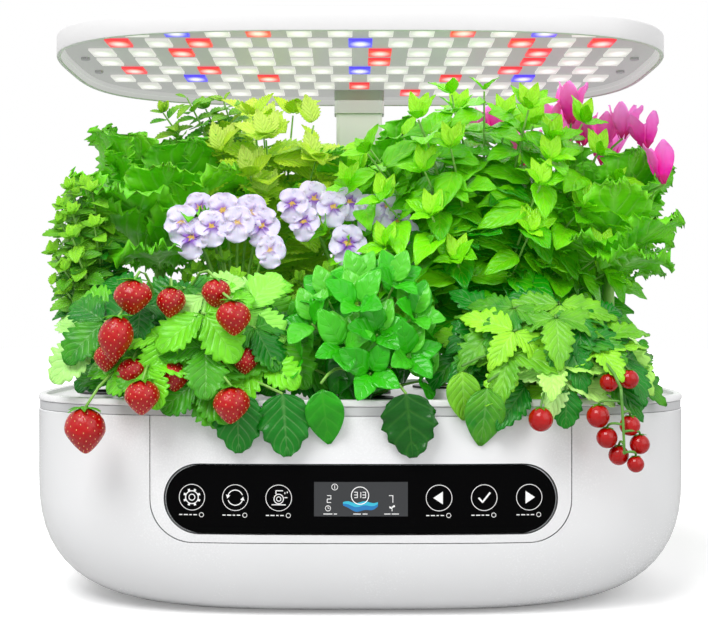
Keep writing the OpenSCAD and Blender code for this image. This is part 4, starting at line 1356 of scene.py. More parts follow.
@dataclass(frozen=True)
class LeafForm:
    """The form of one kind of leaf or petal, in millimetres."""

    name: str
    length: float
    width: float
    widest: float = 0.4
    blunt: float = 0.8
    teeth: int = 0
    tooth: float = 0.0
    fold: float = 0.2
    droop: float = 0.2
    ruffle: float = 0.0
    waves: float = 3.0
    blister: float = 0.0
    frill: float = 0.0
    across: int = 6
    along: int = 12
    stalk: float = 0.0
    index: int = 0
    thick: float = 0.3

    def mesh(self, seed: int) -> bpy.types.Mesh:
        """Builds one variant of the leaf: its stalk end at the origin, its tip along +Y.

        Args:
            seed: seed of its variation.

        Returns:
            The closed mesh, in millimetres.
        """
        rng = random.Random(f"{self.name}{seed}")
        bm = bmesh.new()
        bm.loops.layers.uv.new("UVMap")
        bmesh.ops.create_grid(bm, x_segments=self.across, y_segments=self.along, size=1, calc_uvs=True)
        fold = self.fold * rng.uniform(0.5, 1.4)
        droop = self.droop * rng.uniform(0.4, 1.5)
        twist = rng.uniform(-0.25, 0.25)
        shift = rng.uniform(0, RIPPLE), rng.uniform(0, RIPPLE)
        power = math.log(0.5) / math.log(self.widest)
        for vert in bm.verts:
            a, v = vert.co.x, (vert.co.y + 1) / 2
            side = abs(a)
            half = self.width / 2 * max(0.02, math.sin(math.pi * min(v, 0.985) ** power)) ** self.blunt
            y = v * self.length
            if self.teeth and 0 < v < 1:
                beat = 1 - 2 * abs((v * self.teeth) % 1 - 0.5)
                edge = side ** 6
                half *= 1 + self.tooth * (beat - 0.5) * edge
                y += self.tooth * self.length / self.teeth * (beat - 0.5) * edge
            x = a * half
            z = fold * side * half - droop * self.length * v * v
            z += self.ruffle * side ** 2 * math.sin(self.waves * RIPPLE * v + shift[a > 0]) * min(1, 3 * v)
            z += 0.4 * self.ruffle * side ** 4 * math.sin(2.7 * self.waves * RIPPLE * v + shift[a < 0])
            outer = max(side, 2 * v - 1) ** 6
            z += self.frill * outer * math.sin(19 * RIPPLE * (v + 0.35 * side) + shift[a < 0])
            if side > 0.05:
                puff = self.blister * (1 - side ** 4) * math.cos(RIPPLE * (v - 0.35 * side) * 6)
                z += puff * math.sin(math.pi * v)
            z += twist * x * v
            vert.co = Vector((x, y + self.stalk, z))
        bmesh.ops.remove_doubles(bm, verts=bm.verts, dist=0.02)
        bm.normal_update()
        bmesh.ops.solidify(bm, geom=bm.faces, thickness=self.thick)
        return bake(bm, f"{self.name}{seed}", self.index)

    def variants(self, count: int = 4) -> list[bpy.types.Mesh]:
        """Several variants of the leaf."""
        return [self.mesh(seed) for seed in range(count)]


@dataclass(frozen=True)
class Space:
    """Where foliage may be: inside the part's box and clear of the post, the lid and the lamp."""

    margin: float = 1.5
    roof: float = 341.0
    post_x: float = 28.0
    post_y: float = 84.0
    post_shown_z: float = 302.0
    lid_xs: Span = (84.0, 126.0)
    lid_y: float = 76.0
    lid_z: float = 164.0
    deck_z: float = 131.0
    lip_y: float = -126.5
    hanging_z: float = 90.0

    def holds(self, p: Vector) -> bool:
        """Whether a point is free for foliage.

        Args:
            p: the point, in millimetres.

        Returns:
            Whether it is.
        """
        (x0, y0, _), (x1, y1, _) = (tuple(c / MM for c in corner) for corner in cad_box)
        if not (x0 + self.margin < p.x < x1 - self.margin and y0 + self.margin < p.y < y1 - self.margin):
            return False
        if p.z > self.roof or self.lid_xs[0] < p.x < self.lid_xs[1] and p.y > self.lid_y and p.z < self.lid_z:
            return False
        if abs(p.x) < self.post_x and (p.y > self.post_y or p.z > self.post_shown_z):
            return False
        return p.z > (self.deck_z if p.y > self.lip_y else self.hanging_z)


SPACE = Space()


class Growth:
    """Gathers the leaves, stalks and flowers of one plant into one mesh."""

    box_play = 0.3
    roof_play = 2.5

    def __init__(self, name: str, seed: int) -> None:
        """Starts an empty plant.

        Args:
            name: name of its piece.
            seed: seed of its variation.
        """
        self.name = name
        self.rng = random.Random(seed)
        self.bm = bmesh.new()
        self.bm.loops.layers.uv.new("UVMap")
        self.tones: list[tuple[int, float]] = []

    def add(self, template: bpy.types.Mesh, place: Matrix, tone: float) -> None:
        """Adds a copy of a template mesh.

        Args:
            template: the mesh.
            place: where the copy goes.
            tone: its tone, 0 deep to 1 fresh.
        """
        copy = template.copy()
        copy.transform(place)
        self.bm.from_mesh(copy)
        self.tones.append((len(copy.vertices), tone))
        bpy.data.meshes.remove(copy)

    def leaf(self, kinds: Kinds, at: Vector, to: Vector, up: Vector, size: float, tone: float,
             reach: float) -> bool:
        """Adds a leaf where there is room for it.

        Args:
            kinds: variants to choose from.
            at: where its stalk ends.
            to: direction of its tip.
            up: where its upper face looks.
            size: its scale.
            tone: its tone.
            reach: its length at scale 1.

        Returns:
            Whether it was added.
        """
        tip = at + to.normalized() * reach * size
        side = to.cross(up).normalized() * reach * size * 0.3
        middle = (at + tip) / 2
        if not all(SPACE.holds(p) for p in (tip, middle + side, middle - side)):
            return False
        place = Matrix.Translation(at) @ turn_to(to, up) @ Matrix.Scale(size, 4)
        self.add(self.rng.choice(kinds), place, tone)
        return True

    def stalk(self, path: Sequence[Vector], r0: float, r1: float, index: int = 1, sides: int = 6) -> None:
        """Adds a round stalk along a path.

        Args:
            path: its points.
            r0: radius at its start.
            r1: radius at its end.
            index: its material index.
            sides: number of its sides.
        """
        before, rings, count = len(self.bm.verts), [], len(path) - 1
        for i, point in enumerate(path):
            ahead = path[min(i + 1, count)] - path[max(i - 1, 0)]
            turn = turn_to(ahead, Vector((0.0, -1.0, 0.05)))
            r = r0 + (r1 - r0) * i / count
            rings.append([point + turn @ Vector((r * math.cos(t), 0, r * math.sin(t)))
                          for t in (FULL_TURN * k / sides for k in range(sides))])
        tube = skin(rings)
        bmesh.ops.recalc_face_normals(tube, faces=tube.faces)
        mesh = bake(tube, "tube", index)
        self.bm.from_mesh(mesh)
        bpy.data.meshes.remove(mesh)
        self.tones.append((len(self.bm.verts) - before, 0.5))

    def finish(self, slot: str, node: str, *finishes: Finish) -> bpy.types.Object:
        """Closes the plant and puts it into the scene.

        Args:
            slot: its slot.
            node: the CAD node that it stands for.
            finishes: the finishes of its material indices.

        Returns:
            The object.
        """
        play = Vector([self.box_play] * 3)
        low, high = Vector(cad_box[0]) / MM + play, Vector(cad_box[1]) / MM - play
        high.z = SPACE.roof + self.roof_play
        for vert in self.bm.verts:
            for axis in range(3):
                vert.co[axis] = min(max(vert.co[axis], low[axis]), high[axis])
            if abs(vert.co.x) < SPACE.post_x and vert.co.y > SPACE.post_y:
                vert.co.y = SPACE.post_y
        mesh = to_mesh(self.bm, self.name, recalc=False)
        tone = mesh.attributes.new("tone", "FLOAT", "POINT")
        tone.data.foreach_set("value", [t for count, value in self.tones for t in [value] * count])
        return Piece(self.name, Body.BASE, slot, (node,)).finish(mesh, *finishes, smooth=False)


# ------------------------------------------------------------------ plants


BASIL = LeafForm("basil", 30, 17, 0.36, 0.85, fold=0.3, droop=0.28, blister=0.25, ruffle=0.7,
                 across=4, along=9, stalk=3)
BIG_BASIL = LeafForm("big_basil", 35, 25, 0.42, 0.72, fold=0.25, droop=0.3, blister=0.5, ruffle=0.8,
                     across=8, along=12, stalk=4)
MINT = LeafForm("mint", 17, 11, 0.42, 0.75, teeth=6, tooth=0.2, fold=0.3, droop=0.2, blister=0.3,
                across=4, along=12, stalk=1)
BALM = LeafForm("balm", 34, 23, 0.36, 0.82, teeth=9, tooth=0.26, fold=0.2, droop=0.2, blister=0.5,
                across=4, along=18, stalk=4)
LEAFLET = LeafForm("leaflet", 27, 22, 0.56, 0.66, teeth=7, tooth=0.34, fold=0.2, droop=0.2, blister=0.3,
                   ruffle=0.8, across=6, along=21, stalk=1)
VINE = LeafForm("vine", 30, 17, 0.42, 0.85, teeth=7, tooth=0.34, fold=0.2, droop=0.25, blister=0.3,
                ruffle=0.8, across=6, along=21, stalk=1)
SALAD = LeafForm("salad", 90, 58, 0.7, 0.7, teeth=20, tooth=0.12, fold=0.12, droop=0.14, ruffle=6, waves=3.4,
                 blister=0.8, frill=3.2, across=16, along=48, thick=0.5)
PANSY = LeafForm("pansy", 12.5, 14, 0.62, 0.45, fold=0.06, droop=0.16, ruffle=1.5, waves=2.2,
                 across=8, along=10, index=2, thick=0.2)
CYCLAMEN = LeafForm("cyclamen", 27, 12, 0.6, 0.7, fold=0.3, droop=-0.1, ruffle=1.2, waves=1.4,
                    across=6, along=10, index=2, thick=0.25)
LOBED = LeafForm("lobed", 40, 34, 0.4, 0.6, teeth=5, tooth=0.17, fold=-0.12, droop=0.05, ruffle=1.6,
                 waves=2.4, blister=0.6, across=10, along=24)
SEPAL = LeafForm("sepal", 9, 3.6, 0.35, 0.8, fold=0.3, droop=0.35, across=2, along=5, index=0)


@dataclass
class Plant:
    """A plant in its pod: the middle and the reach of its foliage, and how it grows."""

    node: str
    slot: str
    pod: int
    middle: Place
    reach: Place
    seed: int = 1

    pods = [(-120, -70), (0, -70), (120, -70), (-168, -8), (-84, -8), (0, -8), (84, -8), (168, -8),
            (-150, 60), (-60, 60), (60, 60), (150, 60)]
    stem_z = 125.6
    shoot_steps = 9
    leafy_share = 0.62
    crown = 4
    lowest_tip = 136
    hang_y = -130.5
    arch_y = -116

    def foot(self) -> Vector:
        """Where the plant leaves its sponge."""
        return Vector((*self.pods[self.pod], self.stem_z))

    def tips(self, growth: Growth, count: int, lowest: float = -0.5) -> list[Vector]:
        """Picks points spread over the outside of the foliage.

        Args:
            growth: the plant, for its random numbers.
            count: how many.
            lowest: the lowest of them, from -1 to 1.

        Returns:
            The points.
        """
        points = []
        for i in range(count):
            z = lowest + (1 - lowest) * (i + 0.5) / count
            flat, angle = math.sqrt(max(0.0, 1 - z * z)), GOLDEN_TURN * i + growth.rng.uniform(-0.3, 0.3)
            grown = growth.rng.uniform(0.82, 1.05)
            way = (flat * math.cos(angle), flat * math.sin(angle), z)
            points.append(Vector([c + r * d * grown for c, r, d in zip(self.middle, self.reach, way)]))
        return points

    def hang(self, growth: Growth, form: LeafForm, x: float, top: float, size: float, tone: float) -> None:
        """Hangs a leaf over the lip of the deck, in front of the base.

        Args:
            growth: the plant.
            form: the form of the leaf.
            x: where it hangs.
            top: height of its stalk end.
            size: its scale.
            tone: its tone.
        """
        end = Vector((x, self.hang_y, top))
        start = self.foot() + Vector((0, 0, 10))
        bend = Vector(((start.x + x) / 2, self.arch_y, max(start.z, top) + 18))
        growth.stalk(round_path((start, bend, end)), 1.1, 0.8)
        template = form.mesh(growth.rng.randrange(9))
        turn = turn_to(Vector((growth.rng.uniform(-0.15, 0.15), -0.1, -1)), Vector((0, -1, 0.1)))
        growth.add(template, Matrix.Translation(end) @ turn @ Matrix.Scale(size, 4), tone)

    def pairs(self, growth: Growth, form: LeafForm, ends: Sequence[Vector], gap: float, size: Span,
              tone: Span, rise: Span = (-0.25, 0.45)) -> None:
        """Grows shoots with crossed pairs of leaves and a rosette at each tip.

        Args:
            growth: the plant.
            form: the form of the leaf.
            ends: ends of the shoots.
            gap: distance between pairs along a shoot.
            size: scale of the lowest and of the highest leaves.
            tone: tone of the lowest and of the highest leaves; the deeper tone low on a shoot is painted
                shade inside the foliage.
            rise: how far the leaves rise towards the tip of the shoot.
        """
        rng, foot = growth.rng, self.foot()
        kinds, reach = form.variants(), form.length + form.stalk
        for end in ends:
            if end.z < self.lowest_tip or not SPACE.holds(end):
                continue
            bend = Vector((foot.x * 0.6 + end.x * 0.4, foot.y * 0.6 + end.y * 0.4, (foot.z + 2 * end.z) / 3))
            path = round_path((foot, bend, end), self.shoot_steps)
            growth.stalk(path, 1.5, 0.6)
            length = sum((b - a).length for a, b in zip(path, path[1:]))
            nodes = max(2, int(length * self.leafy_share / gap))
            turn = rng.uniform(0, 3.14)
            for k in range(nodes + 1):
                share = 1 - self.leafy_share * (nodes - k) / nodes
                spot = share * self.shoot_steps
                i = min(self.shoot_steps - 1, int(spot))
                at = path[i].lerp(path[i + 1], spot - i)
                ahead = (path[i + 1] - path[i]).normalized()
                level = k / nodes
                last = k == nodes
                ring = self.crown if last else 2
                for side in range(ring):
                    angle = turn + k * math.pi / 2 + side * (2 * math.pi / ring) + rng.uniform(-0.3, 0.3)
                    out = turn_to(ahead, UP) @ Vector((math.cos(angle), 0, math.sin(angle)))
                    up = 0.9 if last else rng.uniform(*rise)
                    to = (out + ahead * up + Vector((0, -0.15, 0))).normalized()
                    scale = (size[0] + (size[1] - size[0]) * level) * rng.uniform(0.85, 1.15)
                    scale *= 0.6 if last else 1
                    # Leaves low on a shoot get a deeper tone and the tip leaves a fresher one: painted shade
                    # inside the foliage.
                    shade = tone[0] + (tone[1] - tone[0]) * level + rng.uniform(-0.2, 0.2)
                    face = ahead * 0.8 + Vector((0, -0.75, 0.35))
                    growth.leaf(kinds, at, to, face, scale, shade, reach)
                if last:
                    for lean in (-0.25, 0.3):
                        to, face = Vector((lean, -0.12, 1)), Vector((-lean, -1, 0.15))
                        growth.leaf(kinds, at, to, face, size[1] * 0.6, tone[1] + 0.25, reach)


class LeafyShoots(Plant):
    """Basil, balm and their like: shoots with crossed pairs of leaves."""

    def grow(self, form: LeafForm, finish: Finish, shoots: int, gap: float, size: Span,
             tone: Span, sprigs: Sequence[Place] = (), rise: Span = (-0.25, 0.45),
             hanging: Sequence[tuple[LeafForm, float, float, float, float]] = ()) -> None:
        """Builds the plant.

        Args:
            form: its leaf.
            finish: finish of its leaves.
            shoots: number of its shoots.
            gap: distance between pairs of leaves.
            size: scale of the lowest and of the highest leaves.
            tone: tone of the lowest and of the highest leaves.
            sprigs: ends of further shoots, with small leaves.
            rise: how far its leaves rise towards the tip of the shoot.
            hanging: leaves over the lip: form, place, height, scale and tone of each.
        """
        growth = Growth(f"{self.node}_foliage", self.seed)
        self.pairs(growth, form, self.tips(growth, shoots), gap, size, tone, rise)
        self.pairs(growth, MINT, [Vector(p) for p in sprigs], 7, (1.0, 0.9), (-0.2, 0.3))
        for leaf in hanging:
            self.hang(growth, *leaf)
        growth.finish(self.slot, self.node, finish, STEM_GREEN)


class TrefoilPlant(Plant):
    """Strawberry and vine: long stalks, each with three toothed leaflets at its end."""

    fan = (-1.5625, 0.0, 1.5625)

    def leaves(self, growth: Growth, form: LeafForm, count: int, face: float) -> None:
        """Grows the leaves.

        Args:
            growth: the plant.
            form: its leaflet.
            count: number of leaves.
            face: how far the leaves look to the front.
        """
        kinds, rng, foot = form.variants(), growth.rng, self.foot()
        for end in self.tips(growth, count, -0.75):
            end.z = max(end.z, 138)
            bend = Vector(((foot.x + end.x) / 2, (foot.y + end.y) / 2, end.z + 10))
            start = foot + Vector((rng.uniform(-3, 3), rng.uniform(-3, 3), 0))
            growth.stalk(round_path((start, bend, end)), 1.1, 0.8)
            away = Vector((end.x - foot.x, end.y - foot.y - 30, 0)).normalized()
            sway = Vector((rng.uniform(-0.4, 0.4), rng.uniform(-0.3, 0.3), 0))
            up = (Vector((0, -face, 0.9)) + away * 0.35 + sway).normalized()
            side = away.cross(up).normalized()
            ahead = up.cross(side)
            # Tones above 1 give some leaves a painted sheen, and leaves behind the middle are made deeper:
            # painted shade.
            tone = rng.choice((-0.1, 0.1, 0.35, 0.8, 1.2)) + rng.uniform(-0.1, 0.1)
            tone -= 0.5 * (end.y > self.middle[1])
            for turn in self.fan:
                to = ahead * math.cos(turn) + side * math.sin(turn) - up * rng.uniform(0, 0.25)
                scale, shade = rng.uniform(0.9, 1.25), tone + rng.uniform(-0.08, 0.08)
                growth.leaf(kinds, end, to, up, scale, shade, form.length)


class SaladHead(Plant):
    """Lettuce: ruffled leaves that stand round a short stem."""

    def grow(self, count: int, crown_z: float, size: float) -> None:
        """Builds the plant.

        Args:
            count: number of its leaves.
            crown_z: height at which the leaves start.
            size: their scale.
        """
        growth = Growth(f"{self.node}_foliage", self.seed)
        kinds, rng, foot = SALAD.variants(5), growth.rng, self.foot()
        crown = Vector((self.middle[0], self.middle[1], crown_z))
        growth.stalk(round_path((foot, (foot + crown) / 2, crown + Vector((0, 0, 12))), 5), 5, 4, sides=10)
        for i in range(count):
            level = i / (count - 1)
            yaw = GOLDEN_TURN * i
            pitch = math.radians(12 + 66 * level + rng.uniform(-8, 8))
            flat = Vector((math.cos(yaw) * self.reach[0] / 60, math.sin(yaw) * self.reach[1] / 60, 0))
            to = Vector((flat.x * math.cos(pitch), flat.y * math.cos(pitch), math.sin(pitch)))
            up = Vector((-math.cos(yaw) * math.sin(pitch), -math.sin(yaw) * math.sin(pitch), math.cos(pitch)))
            at = crown + Vector((0, 0, 18 * level)) + flat * 3
            for shrink in (1.0, 0.86, 0.72, 0.6, 0.5):
                scale, tone = size * shrink * rng.uniform(0.9, 1.05), 0.45 + 0.6 * level * rng.random()
                if growth.leaf(kinds, at, to, up, scale, tone, SALAD.length):
                    break
        growth.finish(self.slot, self.node, SALAD_LEAF, STEM_GREEN)


class Flowering(Plant):
    """Pansies and cyclamen: low leaves and flowers on long stalks."""

    def grow(self, form: LeafForm, leaf_finish: Finish, flowers: Sequence[Place], petal: LeafForm,
             petal_finish: Finish, nodding: bool, shoots: int) -> None:
        """Builds the plant.

        Args:
            form: its leaf.
            leaf_finish: finish of its leaves.
            flowers: places of its flowers.
            petal: its petal.
            petal_finish: finish of its petals.
            nodding: whether the petals sweep up from a nodding flower.
            shoots: number of its leafy shoots.
        """
        growth = Growth(f"{self.node}_foliage", self.seed)
        foot = self.foot()
        self.pairs(growth, form, self.tips(growth, shoots), 0.7 * form.length, (1.0, 0.8), (0.1, 0.6))
        kinds = petal.variants()
        for flower in flowers:
            at = Vector(flower)
            bend = Vector(((foot.x + at.x) / 2, (foot.y + at.y) / 2, at.z))
            growth.stalk(round_path((foot, bend, at)), 1.1, 0.8)
            if nodding:
                self.swept(growth, kinds, at, petal)
            else:
                self.faced(growth, kinds, at, petal)
        growth.finish(self.slot, self.node, leaf_finish, STEM_GREEN, petal_finish)

    def swept(self, growth: Growth, kinds: Kinds, at: Vector, petal: LeafForm) -> None:
        """Adds a flower whose petals stand up like a crown.

        Args:
            growth: the plant.
            kinds: variants of its petal.
            at: where its stalk ends.
            petal: the form of the petal.
        """
        rng = growth.rng
        tone, size, turn = rng.random(), rng.uniform(0.88, 1.1), rng.uniform(0, 6)
        for k in range(5):
            angle = turn + k * FIFTH_TURN
            out = Vector((math.cos(angle), math.sin(angle), 0))
            to = Vector((out.x * 0.6, out.y * 0.5, 1)) + Vector([rng.uniform(-0.2, 0.2) for _ in range(3)])
            growth.leaf(kinds, at + out * 2, to, -out + Vector((0, 0, 0.3)), size, tone, petal.length)

    def faced(self, growth: Growth, kinds: Kinds, at: Vector, petal: LeafForm) -> None:
        """Adds a flat-faced flower that looks to the front and up.

        Args:
            growth: the plant.
            kinds: variants of its petal.
            at: where its stalk ends.
            petal: the form of the petal.
        """
        rng = growth.rng
        face = Vector((rng.uniform(-0.5, 0.5), -1, rng.uniform(0.1, 0.8))).normalized()
        turn = turn_to(UP, face)
        tone, size = rng.random(), rng.uniform(0.8, 1.05)
        for k, angle in enumerate((0.45, -0.45, 1.75, -1.75, 3.14)):
            to = turn @ Vector((math.sin(angle), math.cos(angle), 0.12))
            scale = size * (1.25 if k == 4 else 1)
            growth.leaf(kinds, at + face * (k * 0.5), to, face, scale, tone, petal.length)


@dataclass
class Fruit:
    """The strawberries and the cherry tomatoes, with their sepals."""

    hang_y: float = -139.0
    seed_count: int = 112
    seed_r: float = 0.48
    seed_form: Place = (0.62, 1.1, 0.6)
    seeds_below: float = 0.82
    pit_edge: float = 0.99
    pit_width: float = 0.01
    pit_depth: float = 0.5
    sepal_berry_w: float = 21.0
    sepal_tomato_r: float = 13.0

    def sepals(self, growth: Growth, kinds: Kinds, at: Vector, size: float) -> None:
        """Adds a star of sepals on top of a fruit.

        Args:
            growth: what it is gathered into.
            kinds: variants of the sepal.
            at: the middle of the star.
            size: the scale of the sepals.
        """
        turn = growth.rng.uniform(0, 1)
        for k in range(6):
            angle = turn + k * SIXTH_TURN
            to = Vector((math.cos(angle), math.sin(angle), 0.25))
            place = Matrix.Translation(at) @ turn_to(to, UP) @ Matrix.Scale(size, 4)
            growth.add(growth.rng.choice(kinds), place, 0.5)

    def berry(self, growth: Growth, at: Vector, w: float, h: float) -> None:
        """Adds a strawberry with its seeds in pits.

        Args:
            growth: what it is gathered into.
            at: middle of its crown.
            w: its width.
            h: its height.
        """
        rng = growth.rng
        seeds = []
        for i in range(self.seed_count):
            level = (i + 0.5) / self.seed_count
            z = 1 - 2 * level
            flat = math.sqrt(1 - z * z)
            seeds.append(Vector((flat * math.cos(GOLDEN_TURN * i), flat * math.sin(GOLDEN_TURN * i), z)))
        bm = bmesh.new()
        bmesh.ops.create_uvsphere(bm, u_segments=48, v_segments=34, radius=1)
        lean = rng.uniform(-0.06, 0.06)

        def shape(d: Vector, out: float) -> Vector:
            """Place of a direction on the fruit, out from its skin."""
            taper = 1 - 0.5 * max(0.0, -d.z) ** 1.2 + 0.08 * max(0.0, d.z)
            r = w / 2 + out
            x = d.x * r * taper + lean * h * (1 - d.z)
            return at + Vector((x, d.y * r * taper, (d.z * (h / 2 + out)) - h * 0.48))

        for vert in bm.verts:
            d = vert.co.normalized()
            near = max(d.dot(seed) for seed in seeds)
            pit = max(0.0, (near - self.pit_edge) / self.pit_width) * self.pit_depth
            vert.co = shape(d, -pit)
        self.take(growth, bake(bm, "fruit", 2))
        seed_bm = bmesh.new()
        bmesh.ops.create_icosphere(seed_bm, subdivisions=1, radius=self.seed_r)
        bmesh.ops.scale(seed_bm, vec=self.seed_form, verts=seed_bm.verts)
        kernel = bake(seed_bm, "kernel", 3)
        for d in seeds:
            if d.z < self.seeds_below:
                growth.add(kernel, Matrix.Translation(shape(d, -0.25)) @ turn_to(Vector((0, 0, -1)), d), 0.5)
        bpy.data.meshes.remove(kernel)

    def take(self, growth: Growth, mesh: bpy.types.Mesh) -> None:
        """Adds a finished mesh and removes it."""
        growth.add(mesh, Matrix.Identity(4), 0.5)
        bpy.data.meshes.remove(mesh)

    def strawberries(self, berries: Sequence[tuple[float, float, float, float, float]]) -> None:
        """Builds the strawberries.

        Args:
            berries: the place, the width and the height of each.
        """
        growth = Growth("strawberry_fruit", 5)
        kinds = SEPAL.variants()
        for x, y, z, w, h in berries:
            at = Vector((x, y, z))
            self.berry(growth, at, w, h)
            self.sepals(growth, kinds, at + Vector((0, 0, 0.2)), w / self.sepal_berry_w)
        growth.finish("strawberry_red", "strawberries", BERRY_LEAF, STEM_GREEN, BERRY_SKIN, SEED)

    def tomatoes(self, fruits: Sequence[tuple[float, float, float, float]]) -> None:
        """Builds the cherry tomatoes.

        Args:
            fruits: the place of the top and the radius of each.
        """
        growth = Growth("cherry_tomatoes", 6)
        kinds = SEPAL.variants()
        for x, y, z, r in fruits:
            bm = bmesh.new()
            bmesh.ops.create_uvsphere(bm, u_segments=36, v_segments=24, radius=r)
            for vert in bm.verts:
                flat = math.hypot(vert.co.x, vert.co.y) / r
                if vert.co.z > 0:
                    vert.co.z -= r * 0.12 * math.exp(-(flat / 0.22) ** 2)
                vert.co += Vector((x, y, z - r))
            self.take(growth, bake(bm, "fruit", 2))
            self.sepals(growth, kinds, Vector((x, y, z - r * 0.08)), r / self.sepal_tomato_r)
        growth.finish("tomato_red", "tomatoes", BERRY_LEAF, STEM_GREEN, TOMATO_SKIN)


